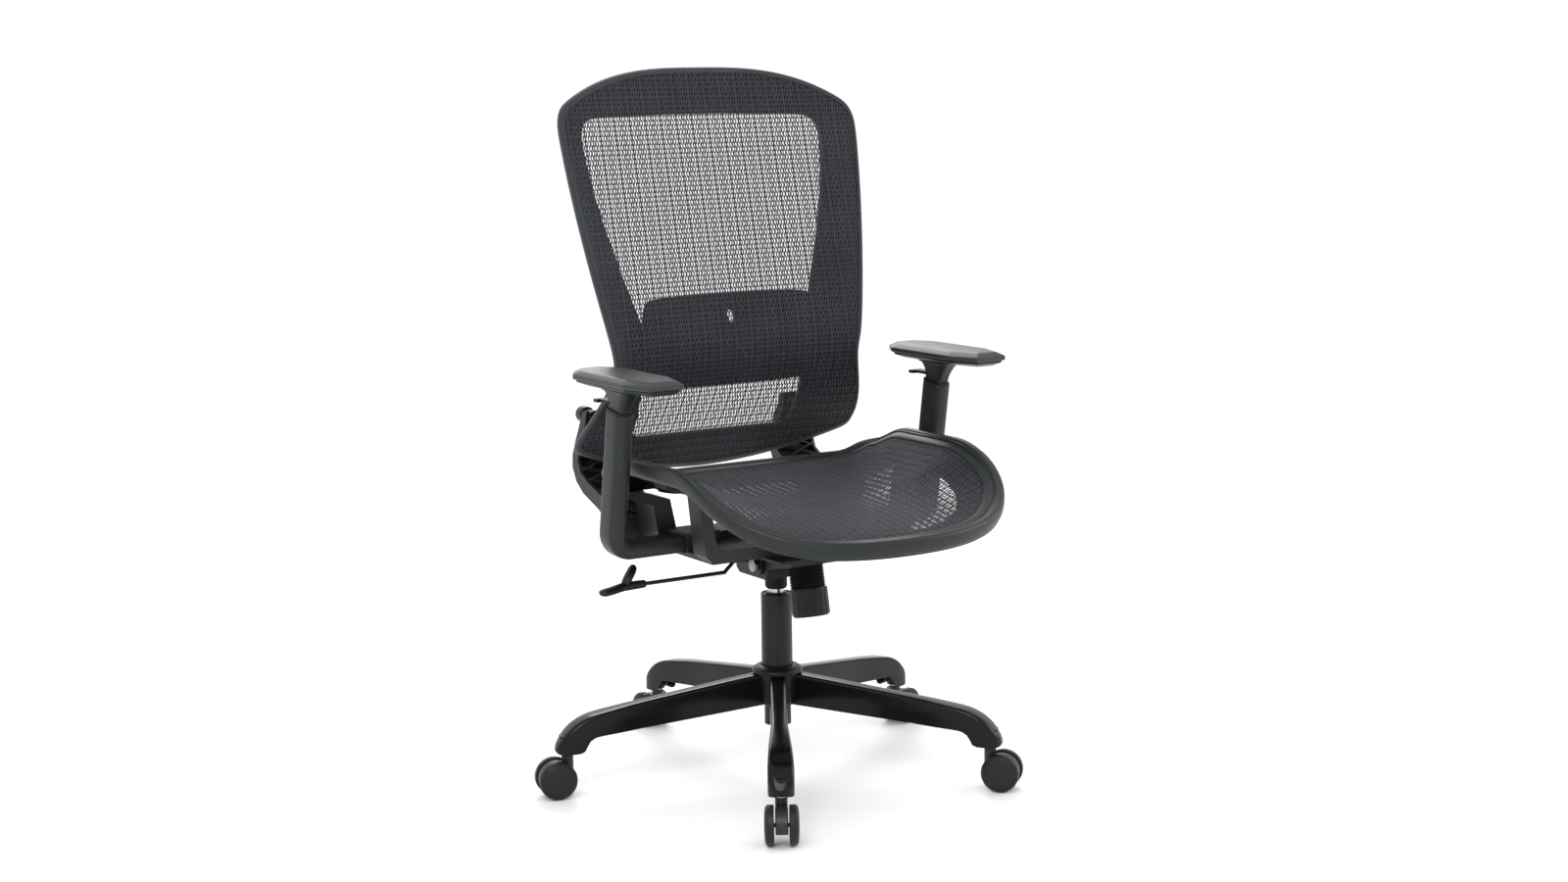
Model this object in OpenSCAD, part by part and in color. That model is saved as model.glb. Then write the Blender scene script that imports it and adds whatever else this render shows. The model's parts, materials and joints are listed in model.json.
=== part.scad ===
// Swivel office chair: five-star base on casters, gas lift, tilting mesh seat and back, adjustable arms.
// Millimetres. Origin on the floor under the column axis; the chair faces -Y; +Z is up.

/* [Base] */
// Radius of the circle that the caster stems stand on
base_reach = 350; // [300:1:380]
// Height of the hub's top above the floor
hub_top = 170; // [150:1:190]
// Height of the hub from its lower to its upper face
hub_height = 52; // [44:1:60]
// Diameter of the hub where the legs leave it
hub_dia = 64; // [60:1:76]
// Width of a leg beside the hub
leg_root_width = 26; // [20:1:30]
// Width of a leg over the caster
leg_end_width = 40; // [34:1:46]
// Wall of the pressed legs
leg_wall = 2.5; // [2:0.1:4]
// Turn of the base under the chair, in degrees
base_turn = -121.4; // [-180:0.1:180]

/* [Casters] */
// Diameter of a caster wheel
wheel_dia = 60; // [50:1:64]
// Width of one wheel
wheel_width = 15; // [11:0.5:18]
// Width of the hood between the two wheels
hood_width = 19; // [16:0.5:22]
// Distance from the stem's axis to the wheels' axle
caster_trail = 19; // [15:0.5:22]
// Diameter of the stem
stem_dia = 11; // [8:0.1:12]
// Diameter of the wheels' axle
axle_dia = 6; // [5:0.1:8]

/* [Column] */
// Outer diameter of the column tube
tube_dia = 50; // [46:1:54]
// Height of the column tube's top above the floor
tube_top = 298; // [280:1:306]
// Diameter of the chromed gas cylinder
cylinder_dia = 28; // [26:0.5:30]
// Diameter of the piston rod
rod_dia = 10; // [8:0.5:11]
// Rise of the seat from its lowest position
height_stroke = 90; // [60:1:95]

/* [Mechanism] */
// Width of the steel housing
housing_width = 100; // [90:1:116]
// Height of the housing's floor above the ground
housing_floor = 332; // [328:1:338]
// Sheet thickness of the housing
housing_wall = 3; // [2:0.5:5]
// Diameter of the tilt shaft
shaft_dia = 12; // [10:0.5:14]
// Distance of the tilt axis in front of the column axis
tilt_forward = 30; // [28:1:34]
// Height of the tilt axis
tilt_height = 354; // [352:1:356]
// Diameter of the tension knob
knob_dia = 60; // [50:1:66]
// Height of the tension knob along its own axis
knob_height = 45; // [36:1:48]
// Diameter of the lever's rod
lever_dia = 6.5; // [5:0.1:8]

/* [Seat] */
// Width of the seat over its rim
seat_width = 536; // [500:1:540]
// Distance of the rim's rear edge behind the column axis
seat_rear = 110; // [100:1:120]
// Distance of the rim's front edge in front of the column axis
seat_front = 388; // [360:1:420]
// Height of the rim's side rails
rail_height = 541; // [530:1:560]
// Height of the rim's front edge
front_height = 447; // [440:1:460]
// Height of the rim's rear edge
rear_height = 497; // [490:1:510]
// Width of the rim's section
rim_width = 20; // [16:1:24]
// Depth of the rim's section
rim_depth = 28; // [24:1:32]
// Height of the mesh in the middle of the seat
mesh_middle = 468; // [462:1:485]
// Thickness of the mesh
mesh_thick = 2.5; // [2:0.1:4]

/* [Back] */
// Width of the back at its widest
back_width = 552; // [520:1:560]
// Width of the back at its waist
waist_width = 452; // [430:1:470]
// Width of the back's lower edge
lower_width = 526; // [510:1:540]
// Height of the waist
waist_height = 670; // [660:1:680]
// Height of the top edge in the middle
back_top = 1131; // [1090:1:1160]
// Height of the lower edge in the middle
back_low = 474; // [470:1:480]
// Distance of the waist behind the column axis
waist_back = 94; // [90:1:100]
// Thickness of the back's frame
frame_thick = 14; // [10:0.5:16]
// Height of the lumbar pad
lumbar_height = 152; // [130:1:160]
// Thickness of the lumbar pad
lumbar_thick = 7; // [5:0.5:8]
// Depth of the frame's dish behind the mesh
frame_dish = 33; // [28:1:38]

/* [Arms] */
// Distance between the two arm posts, centre to centre
arm_spacing = 588; // [584:1:610]
// Height of the outer post's top
post_top = 618; // [600:1:640]
// Width of the outer post
post_width = 30; // [28:0.5:34]
// Length of the outer post's section, fore and aft
post_length = 50; // [46:0.5:56]
// Forward lean of the posts, in degrees
post_lean = 9.5; // [6:0.1:12]
// Height of the arm pads' upper face
pad_top = 680; // [672:1:720]
// Length of an arm pad
pad_length = 246; // [210:1:260]
// Width of an arm pad
pad_width = 90; // [80:1:100]
// Thickness of an arm pad
pad_thick = 15; // [12:0.5:20]
// Rise of the arms from their lowest position
arm_stroke = 70; // [50:1:75]

/* [Hidden] */
$fn = 64;
// A little more than nothing, so that cutters pass through faces
eps = 0.01;
// Radial clearance of shafts that turn or slide
run_gap = 0.06;
// Clearance between pieces of different bodies
part_gap = 0.4;
// Clearance between a seated piece and what holds it
seat_gap = 0.02;

// Base
legs = 5;
hub_low = hub_top - hub_height;
socket_radius = 13;
leg_end_floor = 70;
leg_end_top = hub_top - 61;
// Column
taper_bottom_dia = 43;
tube_foot = 83;
tube_wall = 2;
bush_length = 88;
bearing_height = 6;
cylinder_foot = 100;
cylinder_head = 348;
cylinder_wall = 2;
piston_height = 12;
pin_dia = 8;
pin_top = 354.3;
// Mechanism
housing_front = -125;
housing_rear = 40;
housing_roof = 373;
boss_dia = 38;
tension_y = -88;
tension_z = 357;
tension_lean = 11.5;
boot_length = 36;
boot_dia = 57;
plate_floor = 377;
plate_thick = 4;
plate_top = plate_floor + plate_thick;
lever_z = 358;
lever_drop = 16;
lever_pin = 3;
lever_pivot_x = -43.5;
lever_bend_x = -78;
lever_bend_run = 18;
lever_inner_end = 14;
grip_x = -239;
grip_sleeve = 36;
// Seat
rim_corner = 40;
rim_front_y = -190;
tray_floor = plate_top + seat_gap;
tray_half = 178;
socket_half = 31;
bar_floor = 386;
bar_height = 26;
// Arms
arm_x = arm_spacing / 2;
elbow_z = 405;
elbow_y = 2;

function smooth(u) = let (c = min(max(u, 0), 1)) c * c * (3 - 2 * c);
function mix(a, b, t) = a + (b - a) * t;
function flat(list) = [for (row = list) for (item = row) item];

// ---------- shared shapes ----------

// Closed ring-by-ring solid: rings of equal length, the first and the last are capped
module loft(rings) {
    n = len(rings[0]);
    m = len(rings);
    sides = [for (j = [0 : m - 2]) for (i = [0 : n - 1])
        let (k = (i + 1) % n) [j * n + i, j * n + k, (j + 1) * n + k, (j + 1) * n + i]];
    first = [[for (i = [n - 1 : -1 : 0]) i]];
    last = [[for (i = [0 : n - 1]) (m - 1) * n + i]];
    polyhedron(flat(rings), concat(sides, first, last), convexity = 8);
}

// Closed loop of equal sections, each a ring of points
module ring_loft(rings) {
    n = len(rings[0]);
    m = len(rings);
    polyhedron(flat(rings), [for (j = [0 : m - 1]) for (i = [0 : n - 1])
        let (k = (i + 1) % n, l = (j + 1) % m) [j * n + i, j * n + k, l * n + k, l * n + i]], convexity = 8);
}

// Sheet between two grids of the same size, a front one and a back one
module sheet(front, back) {
    rows = len(front);
    cols = len(front[0]);
    half = rows * cols;
    function at(i, j, side) = side * half + i * cols + j;
    faces_front = [for (i = [0 : rows - 2]) for (j = [0 : cols - 2])
        for (t = [[at(i, j, 0), at(i, j + 1, 0), at(i + 1, j + 1, 0)],
            [at(i, j, 0), at(i + 1, j + 1, 0), at(i + 1, j, 0)]]) t];
    faces_back = [for (i = [0 : rows - 2]) for (j = [0 : cols - 2])
        for (t = [[at(i, j, 1), at(i + 1, j + 1, 1), at(i, j + 1, 1)],
            [at(i, j, 1), at(i + 1, j, 1), at(i + 1, j + 1, 1)]]) t];
    rim_path = concat([for (j = [0 : cols - 1]) [0, j]], [for (i = [1 : rows - 1]) [i, cols - 1]],
        [for (j = [cols - 2 : -1 : 0]) [rows - 1, j]], [for (i = [rows - 2 : -1 : 1]) [i, 0]]);
    count = len(rim_path);
    edges = [for (k = [0 : count - 1])
        let (a = rim_path[k], b = rim_path[(k + 1) % count])
        [at(a[0], a[1], 0), at(a[0], a[1], 1), at(b[0], b[1], 1), at(b[0], b[1], 0)]];
    polyhedron(concat(flat(front), flat(back)), concat(faces_front, faces_back, edges), convexity = 8);
}

// Rectangle with round corners, centred
module round_rect(x, y, r) {
    square([x - 2 * r, y], center = true);
    square([x, y - 2 * r], center = true);
    for (a = [-1, 1]) for (b = [-1, 1]) translate([a * (x / 2 - r), b * (y / 2 - r)]) circle(r, $fn = 32);
}

module both_sides() {
    children();
    mirror([1, 0, 0]) children();
}

// ---------- base ----------

module at_leg(i) {
    rotate([0, 0, base_turn + 360 / legs * i]) children();
}

// Side view of one leg, radius against height
module leg_side() {
    tip = base_reach + leg_end_width / 2;
    polygon([[tube_dia / 2 + 1, hub_low], [tube_dia / 2 + 1, hub_top - 1], [base_reach - 262, hub_top - 9],
        [base_reach - 196, hub_top - 18], [base_reach - 102, hub_top - 31], [base_reach - 43, hub_top - 41],
        [base_reach - 30, hub_top - 44.5], [tip - 40, hub_top - 49], [tip - 29, hub_top - 55], [tip - 19, leg_end_top - 3],
        [tip - 8, leg_end_top - 12], [tip - 3, leg_end_top - 20], [tip, leg_end_top - 28], [tip, leg_end_floor + 5],
        [tip - 3, leg_end_floor + 1.5], [tip - 8, leg_end_floor], [base_reach - 15, leg_end_floor],
        [base_reach - 24, leg_end_floor + 3], [base_reach - 27, leg_end_floor + 10], [base_reach - 31, leg_end_floor + 18],
        [base_reach - 42, leg_end_floor + 24], [base_reach - 85, leg_end_floor + 27]]);
}

// Plan of one leg
module leg_plan(inset) {
    r = leg_end_width / 2 - inset;
    w = leg_root_width / 2 - inset;
    polygon(concat([[tube_dia / 2 + 1, -w], [base_reach - 130, -w], [base_reach - 50, -mix(w, r, 0.7)], [base_reach - 12, -r]],
        [for (a = [-90 : 10 : 90]) [base_reach + r * cos(a), r * sin(a)]],
        [[base_reach - 12, r], [base_reach - 50, mix(w, r, 0.7)], [base_reach - 130, w], [tube_dia / 2 + 1, w]]));
}

module leg() {
    intersection() {
        rotate([90, 0, 0]) linear_extrude(leg_end_width + 2, center = true) leg_side();
        linear_extrude(hub_top + 10) leg_plan(0);
    }
}

module leg_hollow() {
    intersection() {
        translate([-leg_wall, 0, -leg_wall]) rotate([90, 0, 0])
            linear_extrude(leg_end_width + 2, center = true) leg_side();
        translate([0, 0, -leg_wall]) linear_extrude(hub_top + 10) leg_plan(leg_wall);
        translate([hub_dia / 2 + 2, -leg_end_width, 0]) cube([base_reach, 2 * leg_end_width, hub_top]);
    }
    // Open below, up to the pressed roof
    intersection() {
        translate([0, 0, -60]) rotate([90, 0, 0]) linear_extrude(leg_end_width + 2, center = true) leg_side();
        linear_extrude(hub_top + 10) leg_plan(leg_wall);
        translate([hub_dia / 2 + 2, -leg_end_width, 0])
            cube([base_reach - hub_dia / 2 - 2 - socket_radius, 2 * leg_end_width, hub_top]);
        translate([-leg_wall, 0, -leg_wall]) rotate([90, 0, 0])
            linear_extrude(leg_end_width + 2, center = true) leg_side();
    }
}

module base_star() {
    color("#141516") difference() {
        union() {
            for (i = [0 : legs - 1]) at_leg(i) {
                difference() {
                    leg();
                    leg_hollow();
                }
                intersection() {
                    translate([base_reach, 0, leg_end_floor]) cylinder(r = socket_radius, h = leg_end_top + 6 - leg_end_floor);
                    leg();
                }
            }
            translate([0, 0, hub_low]) cylinder(d = hub_dia, h = hub_height);
        }
        // Taper that holds the column tube
        translate([0, 0, hub_low - eps]) cylinder(d1 = taper_bottom_dia + 2 * seat_gap,
            d2 = tube_dia + 2 * seat_gap, h = hub_height + 2 * eps);
        // Sockets for the caster stems
        for (i = [0 : legs - 1]) at_leg(i) translate([base_reach, 0, leg_end_floor - 1])
            cylinder(d = stem_dia + 2 * seat_gap, h = 24);
    }
}

module hub_collar() {
    color("#232526") rotate_extrude($fn = 96) polygon([[tube_dia / 2 + seat_gap, hub_top + seat_gap],
        [hub_dia / 2 + 8, hub_top + seat_gap], [hub_dia / 2 + 8, hub_top + 4], [hub_dia / 2 + 2, hub_top + 9],
        [tube_dia / 2 + seat_gap, hub_top + 11]]);
}

// ---------- column ----------

module outer_tube() {
    bore = tube_dia / 2 - tube_wall;
    color("#101112") rotate_extrude($fn = 96) polygon([[rod_dia / 2 + 1, tube_foot],
        [taper_bottom_dia / 2, tube_foot], [taper_bottom_dia / 2, hub_low], [tube_dia / 2, hub_top],
        [tube_dia / 2, tube_top - 1], [tube_dia / 2 - 1, tube_top], [bore, tube_top],
        [bore, tube_top - bush_length - 4], [taper_bottom_dia / 2 - tube_wall, hub_low],
        [taper_bottom_dia / 2 - tube_wall, tube_foot + tube_wall], [rod_dia / 2 + 1, tube_foot + tube_wall]]);
}

module guide_bush() {
    inner = cylinder_dia / 2 + run_gap;
    color("#1b1b1c") translate([0, 0, tube_top - bush_length]) difference() {
        union() {
            cylinder(r = tube_dia / 2 - tube_wall - seat_gap, h = bush_length - 2);
            cylinder(r = inner + 3, h = bush_length + 1);
        }
        translate([0, 0, -1]) cylinder(r = inner, h = bush_length + 4);
    }
}

module thrust_bearing() {
    color("silver") translate([0, 0, tube_foot + tube_wall + seat_gap]) difference() {
        cylinder(d = rod_dia + 14, h = bearing_height);
        translate([0, 0, -1]) cylinder(d = rod_dia + 2 * run_gap, h = bearing_height + 2);
    }
}

module retaining_clip() {
    color("dimgray") translate([0, 0, tube_foot - part_gap - 1.5]) difference() {
        cylinder(d = rod_dia + 12, h = 1.5);
        translate([0, 0, -1]) cylinder(d = rod_dia - 2 + 2 * seat_gap, h = 4);
        translate([0, -2, -1]) cube([rod_dia + 12, 4, 4]);
    }
}

module piston_rod() {
    rest_on = tube_foot + tube_wall + bearing_height + seat_gap + run_gap;
    piston_low = cylinder_foot + height_stroke + 24;
    color("silver") rotate_extrude($fn = 64) polygon([[0, tube_foot - 8], [rod_dia / 2, tube_foot - 8],
        [rod_dia / 2, tube_foot - part_gap - 1.5 - seat_gap], [rod_dia / 2 - 1, tube_foot - part_gap - 1.5 - seat_gap],
        [rod_dia / 2 - 1, tube_foot - part_gap + seat_gap], [rod_dia / 2, tube_foot - part_gap + seat_gap],
        [rod_dia / 2, rest_on],
        [rod_dia / 2 + 3, rest_on], [rod_dia / 2 + 3, rest_on + 3], [rod_dia / 2, rest_on + 3],
        [rod_dia / 2, piston_low], [cylinder_dia / 2 - cylinder_wall - run_gap, piston_low],
        [cylinder_dia / 2 - cylinder_wall - run_gap, piston_low + piston_height], [0, piston_low + piston_height]]);
}

module gas_cylinder() {
    r = cylinder_dia / 2;
    color("gainsboro") rotate_extrude($fn = 96) polygon([[rod_dia / 2 + run_gap, cylinder_foot], [r, cylinder_foot],
        [r, housing_floor - 4], [r - 1.5, cylinder_head], [pin_dia / 2 + run_gap, cylinder_head],
        [pin_dia / 2 + run_gap, cylinder_head - 30], [r - cylinder_wall, cylinder_head - 30],
        [r - cylinder_wall, cylinder_foot + 4], [rod_dia / 2 + run_gap, cylinder_foot + 4]]);
}

module release_pin() {
    color("silver") translate([0, 0, cylinder_head - 26]) cylinder(d = pin_dia, h = pin_top - cylinder_head + 26);
}

module column_boot() {
    r = cylinder_dia / 2;
    color("#151515") rotate_extrude($fn = 64) polygon([[r + 0.1, housing_floor - 25], [r + 2, housing_floor - 26],
        [r + 4, housing_floor - 23], [r + 4, housing_floor - 6 - seat_gap], [r + 0.1, housing_floor - 6 - seat_gap]]);
}

// ---------- casters ----------

module at_caster(i) {
    at_leg(i) translate([base_reach, 0, 0]) children();
}

wheel_r = wheel_dia / 2;
stem_foot = wheel_r + 8;

module caster_stem(i) {
    color("silver") at_caster(i) {
        translate([0, 0, stem_foot]) cylinder(d = stem_dia, h = leg_end_floor + 22.5 - stem_foot);
        translate([0, 0, leg_end_floor - 2.5 - seat_gap]) cylinder(d = stem_dia + 5, h = 2.5);
    }
}

module caster_hood(i) {
    hood_r = wheel_r - 2.5;
    housing_top = leg_end_floor - 2.5 - seat_gap - part_gap;
    color("#1c1d1e") at_caster(i) difference() {
        union() {
            intersection() {
                translate([caster_trail, hood_width / 2, wheel_r]) rotate([90, 0, 0]) cylinder(r = hood_r, h = hood_width);
                translate([-wheel_r, -hood_width, wheel_r - 8]) cube([4 * wheel_r, 2 * hood_width, 3 * wheel_r]);
            }
            translate([0, 0, stem_foot - 4]) cylinder(r = hood_width / 2, h = housing_top - stem_foot + 4);
        }
        translate([0, 0, stem_foot - 0.5]) cylinder(d = stem_dia + 2 * run_gap, h = 2 * wheel_r);
        translate([caster_trail, hood_width, wheel_r]) rotate([90, 0, 0])
            cylinder(d = axle_dia + 2 * run_gap, h = 2 * hood_width);
    }
}

// One wheel, turned about X, its inner face at x = 0
module wheel() {
    rotate([0, 90, 0]) rotate_extrude($fn = 96) polygon([[axle_dia / 2 + seat_gap, 0], [9, 0], [9, 2.5],
        [wheel_r - 6, 2.5], [wheel_r - 6, 0], [wheel_r - 1, 0], [wheel_r, 1], [wheel_r, wheel_width - 5],
        [wheel_r - 1, wheel_width - 2.5], [wheel_r - 4, wheel_width - 0.5], [wheel_r - 5, wheel_width - 1],
        [0, wheel_width], [0, wheel_width - 4], [axle_dia / 2 + seat_gap, wheel_width - 4]]);
}

module caster_wheels(i) {
    inner = hood_width / 2 + 1.5;
    color("#2a2b2c") at_caster(i) translate([caster_trail, 0, wheel_r]) rotate([0, 0, 90]) {
        both_sides() translate([inner, 0, 0]) wheel();
        rotate([0, 90, 0]) cylinder(d = axle_dia, h = 2 * (inner + wheel_width - 4 - seat_gap), center = true);
    }
}

// ---------- mechanism ----------

module housing_side() {
    drop = tan(tension_lean);
    polygon([[housing_front, housing_roof], [-40, housing_roof], [housing_rear, housing_roof - 18],
        [housing_rear, housing_floor + 8], [housing_rear - 10, housing_floor], [-48, housing_floor],
        [-58, tension_z - drop * 30], [housing_front, tension_z + drop * (tension_y - housing_front)]]);
}

module at_tension() {
    translate([0, tension_y, tension_z]) rotate([180 - tension_lean, 0, 0]) children();
}

module mechanism_housing() {
    half = housing_width / 2;
    color("#1f2123") difference() {
        union() {
            difference() {
                rotate([90, 0, 90]) linear_extrude(housing_width, center = true) housing_side();
                rotate([90, 0, 90]) linear_extrude(housing_width - 2 * housing_wall, center = true)
                    intersection() {
                        translate([0, housing_wall]) housing_side();
                        translate([housing_front + housing_wall, 0])
                            square([housing_rear - housing_front - 2 * housing_wall, housing_roof + 10]);
                    }
            }
            translate([0, 0, housing_floor - 6]) cylinder(d = boss_dia, h = cylinder_head - housing_floor + 6);
            at_tension() translate([0, 0, -6]) cylinder(d = 26, h = 6);
        }
        // Taper that holds the gas cylinder
        translate([0, 0, housing_floor - 6 - eps]) cylinder(d = cylinder_dia + 2 * seat_gap, h = 3);
        translate([0, 0, housing_floor - 4]) cylinder(d1 = cylinder_dia + 2 * seat_gap,
            d2 = cylinder_dia - 3 + 2 * seat_gap, h = cylinder_head - housing_floor + 4 + eps);
        translate([-half - 1, -tilt_forward, tilt_height]) rotate([0, 90, 0])
            cylinder(d = shaft_dia + 2 * seat_gap, h = housing_width + 2);
        translate([-half - 1, 0, lever_z]) rotate([0, 90, 0]) cylinder(d = 14 + 2 * run_gap, h = housing_wall + 2);
        at_tension() translate([0, 0, -12]) cylinder(d = 10 + 2 * seat_gap, h = 30);
    }
}

module tilt_shaft() {
    length = housing_width + 18;
    color("gray") translate([0, -tilt_forward, tilt_height]) rotate([0, 90, 0]) {
        cylinder(d = shaft_dia, h = length, center = true);
        for (s = [-1, 1]) translate([0, 0, s * (length / 2 + 2)]) cylinder(d = shaft_dia + 8, h = 4, center = true);
    }
}

module tension_bolt() {
    color("gray") at_tension() {
        translate([0, 0, -6 - seat_gap - 5]) cylinder(d = 17, h = 5);
        translate([0, 0, -8]) cylinder(d = 10, h = boot_length + knob_height - 2);
    }
}

module tension_spring() {
    turns = 4;
    steps = 16;
    wire = 3.6;
    radius = 16;
    low = wire / 2 + 0.4;
    high = boot_length - wire / 2 - 0.4;
    color("silver") at_tension() loft([for (k = [0 : turns * steps])
        let (a = 360 * k / steps, z = mix(low, high, k / (turns * steps)))
        [for (j = [0 : 7]) let (b = -45 * j, rr = radius + wire / 2 * cos(b))
            [rr * cos(a), rr * sin(a), z + wire / 2 * sin(b)]]]);
}

module spring_boot() {
    ridges = 8;
    pitch = (boot_length - 1) / ridges;
    r = boot_dia / 2;
    color("#0d0d0d") at_tension() rotate_extrude($fn = 96) polygon(concat([[r - 5, 0.3]],
        [for (k = [0 : ridges - 1]) for (q = [[-2.2, 0.02], [0, 0.3], [0, 0.7], [-2.2, 0.98]])
            [r + q[0], 0.3 + pitch * (k + q[1])]],
        [[r - 5, boot_length - 0.7]]));
}

module tension_knob() {
    flutes = 24;
    r = knob_dia / 2;
    color("#1a1b1c") at_tension() translate([0, 0, boot_length]) difference() {
        union() {
            cylinder(r1 = r - 1.5, r2 = r - 0.5, h = knob_height - 4, $fn = 96);
            translate([0, 0, knob_height - 4]) cylinder(r1 = r - 0.5, r2 = r - 4, h = 4, $fn = 96);
            for (k = [0 : flutes - 1]) rotate([0, 0, 360 / flutes * k])
                translate([r - 2.5, -1.4, 3]) cube([2.5, 2.8, knob_height - 8]);
        }
        translate([0, 0, -1]) cylinder(d = 10 + 2 * run_gap, h = knob_height);
    }
}

// ---------- lever ----------

module lever_slot(length) {
    rise = 3;
    rotate([0, 90, 0]) {
        for (s = [-1, 1]) translate([s * rise / 2, 0, 0]) cylinder(d = lever_dia + 2 * run_gap, h = length);
        translate([-rise / 2, -lever_dia / 2 - run_gap, 0]) cube([rise, lever_dia + 2 * run_gap, length]);
    }
}

module lock_bush() {
    wall_x = -housing_width / 2;
    color("#202020") translate([0, 0, lever_z]) difference() {
        union() {
            translate([wall_x - 5, 0, 0]) rotate([0, 90, 0]) cylinder(d = 14, h = 24 + housing_wall);
            translate([wall_x - 5, 0, 0]) rotate([0, 90, 0]) cylinder(d = 18, h = 4);
        }
        translate([wall_x - 6, 0, 0]) lever_slot(40);
        translate([lever_pivot_x, 0, 0]) rotate([90, 0, 0]) cylinder(d = lever_pin + 2 * run_gap, h = 30, center = true);
    }
}

module lever_rod() {
    r = lever_dia / 2;
    low = lever_z - lever_drop;
    bend = lever_bend_x - lever_bend_run;
    slope = atan2(lever_drop, lever_bend_run);
    color("#161616") {
        translate([lever_bend_x, 0, lever_z]) rotate([0, 90, 0]) cylinder(r = r, h = lever_inner_end - lever_bend_x);
        translate([lever_pivot_x, 0, lever_z]) rotate([90, 0, 0]) cylinder(d = lever_pin, h = 13, center = true);
        translate([lever_bend_x, 0, lever_z]) sphere(r + 0.25);
        translate([bend, 0, low]) rotate([0, 90 - slope, 0]) cylinder(r = r, h = norm([lever_bend_run, lever_drop]));
        translate([bend, 0, low]) sphere(r + 0.25);
        translate([grip_x - grip_sleeve + 6, 0, low]) rotate([0, 90, 0])
            cylinder(r = r, h = bend - grip_x + grip_sleeve - 6);
    }
}

// Bent two-lobed paddle on a round sleeve
module lever_grip() {
    low = lever_z - lever_drop;
    color("#1a1b1c") difference() {
        union() {
            translate([grip_x - grip_sleeve, 0, low]) rotate([0, 90, 0]) cylinder(d1 = 15, d2 = 12.5, h = grip_sleeve);
            hull() {
                translate([grip_x - 34, 0, low]) scale([1, 1, 0.8]) sphere(9, $fn = 24);
                translate([grip_x - 72, -8, low - 3]) scale([1, 1, 0.55]) sphere(12, $fn = 24);
            }
            hull() {
                translate([grip_x - 34, 0, low + 1]) scale([1, 1, 0.8]) sphere(9, $fn = 24);
                translate([grip_x - 14, 10, low + 21]) scale([0.7, 1.2, 1]) sphere(9, $fn = 24);
            }
        }
        translate([grip_x - grip_sleeve + 6 - seat_gap, 0, low]) rotate([0, 90, 0])
            cylinder(d = lever_dia + 2 * seat_gap, h = grip_sleeve);
    }
}

// ---------- seat ----------

module seat_plate() {
    ear_in = housing_width / 2 + 1;
    color("#222426") difference() {
        union() {
            translate([-85, -150, plate_floor]) cube([170, 250, plate_thick]);
            both_sides() translate([ear_in, -tilt_forward, 0]) {
                translate([0, -16, tilt_height]) cube([plate_thick, 32, plate_floor - tilt_height + 1]);
                translate([0, 0, tilt_height]) rotate([0, 90, 0]) cylinder(r = 16, h = plate_thick);
            }
        }
        translate([-100, -tilt_forward, tilt_height]) rotate([0, 90, 0]) cylinder(d = shaft_dia + 2 * run_gap, h = 200);
    }
}

seat_half = seat_width / 2;
seat_mid_y = (seat_rear - seat_front) / 2;

// Height of the rim's top along the seat
function rim_top(x, y) =
    let (front = mix(front_height, rail_height, smooth((y + seat_front + 4) / (seat_front - 128))),
        back_drop = (rail_height - rear_height) * 0.6 * smooth(y / (seat_rear - 15)),
        corner = (rail_height - rear_height) * 0.4 * smooth((seat_half - 6 - abs(x)) / 70) * smooth((y - 60) / 40))
    front - back_drop - corner;

// Plan of the rim, grown outward from its outer edge: the right half from the rear to the front
function rim_half(grow) = let (half = seat_half + grow, reach = seat_front + rim_front_y + grow,
    corner_x = seat_half - rim_corner, corner_y = seat_rear - rim_corner, r = rim_corner + grow)
    concat([for (i = [0 : 5]) [corner_x * i / 6, seat_rear + grow]],
    [for (i = [0 : 6]) [corner_x + r * sin(90 * i / 7), corner_y + r * cos(90 * i / 7)]],
    [for (i = [0 : 7]) [half, mix(corner_y, rim_front_y, i / 8)]],
    [for (i = [0 : 18]) let (a = 90 * i / 19) [half * pow(cos(a), 0.93), rim_front_y - reach * pow(sin(a), 0.93)]],
    [[0, rim_front_y - reach]]);
function rim_plan(grow) = let (half = rim_half(grow), n = len(half))
    concat(half, [for (i = [n - 2 : -1 : 1]) [-half[i][0], half[i][1]]]);

module seat_rim() {
    section = [[1, -0.25], [0.8, -0.05], [0.3, 0], [-0.5, 0], [-0.9, -0.12], [-1, -0.3], [-0.8, -0.55],
        [-0.35, -0.9], [0.1, -1], [0.6, -0.85], [0.9, -0.6]];
    middle = rim_plan(-rim_width / 2);
    paths = [for (q = section) rim_plan((q[0] - 1) * rim_width / 2)];
    color("#2b2e30") ring_loft([for (k = [len(middle) - 1 : -1 : 0])
        let (z = rim_top(middle[k][0], middle[k][1]))
        [for (j = [0 : len(section) - 1]) [paths[j][k][0], paths[j][k][1], z + section[j][1] * rim_depth]]]);
}

module seat_mesh() {
    rings = 8;
    edge = rim_plan(-rim_width - 0.3);
    n = len(edge);
    function ring(s, drop) = [for (k = [n - 2 : -2 : 0]) [edge[k][0] * s, seat_mid_y + (edge[k][1] - seat_mid_y) * s,
        mix(mesh_middle, rim_top(edge[k][0], edge[k][1]) - 0.26 * rim_depth, pow(s, 2.2)) - drop]];
    top = [for (i = [1 : rings]) ring(i / rings, 0)];
    low = [for (i = [rings : -1 : 1]) ring(i / rings, mesh_thick)];
    color("#3a3d40") loft(concat(top, low));
}

// Section of the tray across the seat: floor between two risers that flare out under the rim
module tray_cross(top_z, floor_thick, riser) {
    foot = tray_half + 12;
    head = seat_half - 12;
    both_sides() polygon([[0, tray_floor], [foot - 14, tray_floor], [foot, tray_floor + 14], [foot + 10, top_z - 26],
        [head, top_z - 8], [head, top_z], [head - 22, top_z], [foot + 10 - riser, top_z - 18],
        [foot - riser, tray_floor + floor_thick + 16], [foot - riser - 16, tray_floor + floor_thick],
        [0, tray_floor + floor_thick]]);
}

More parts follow.
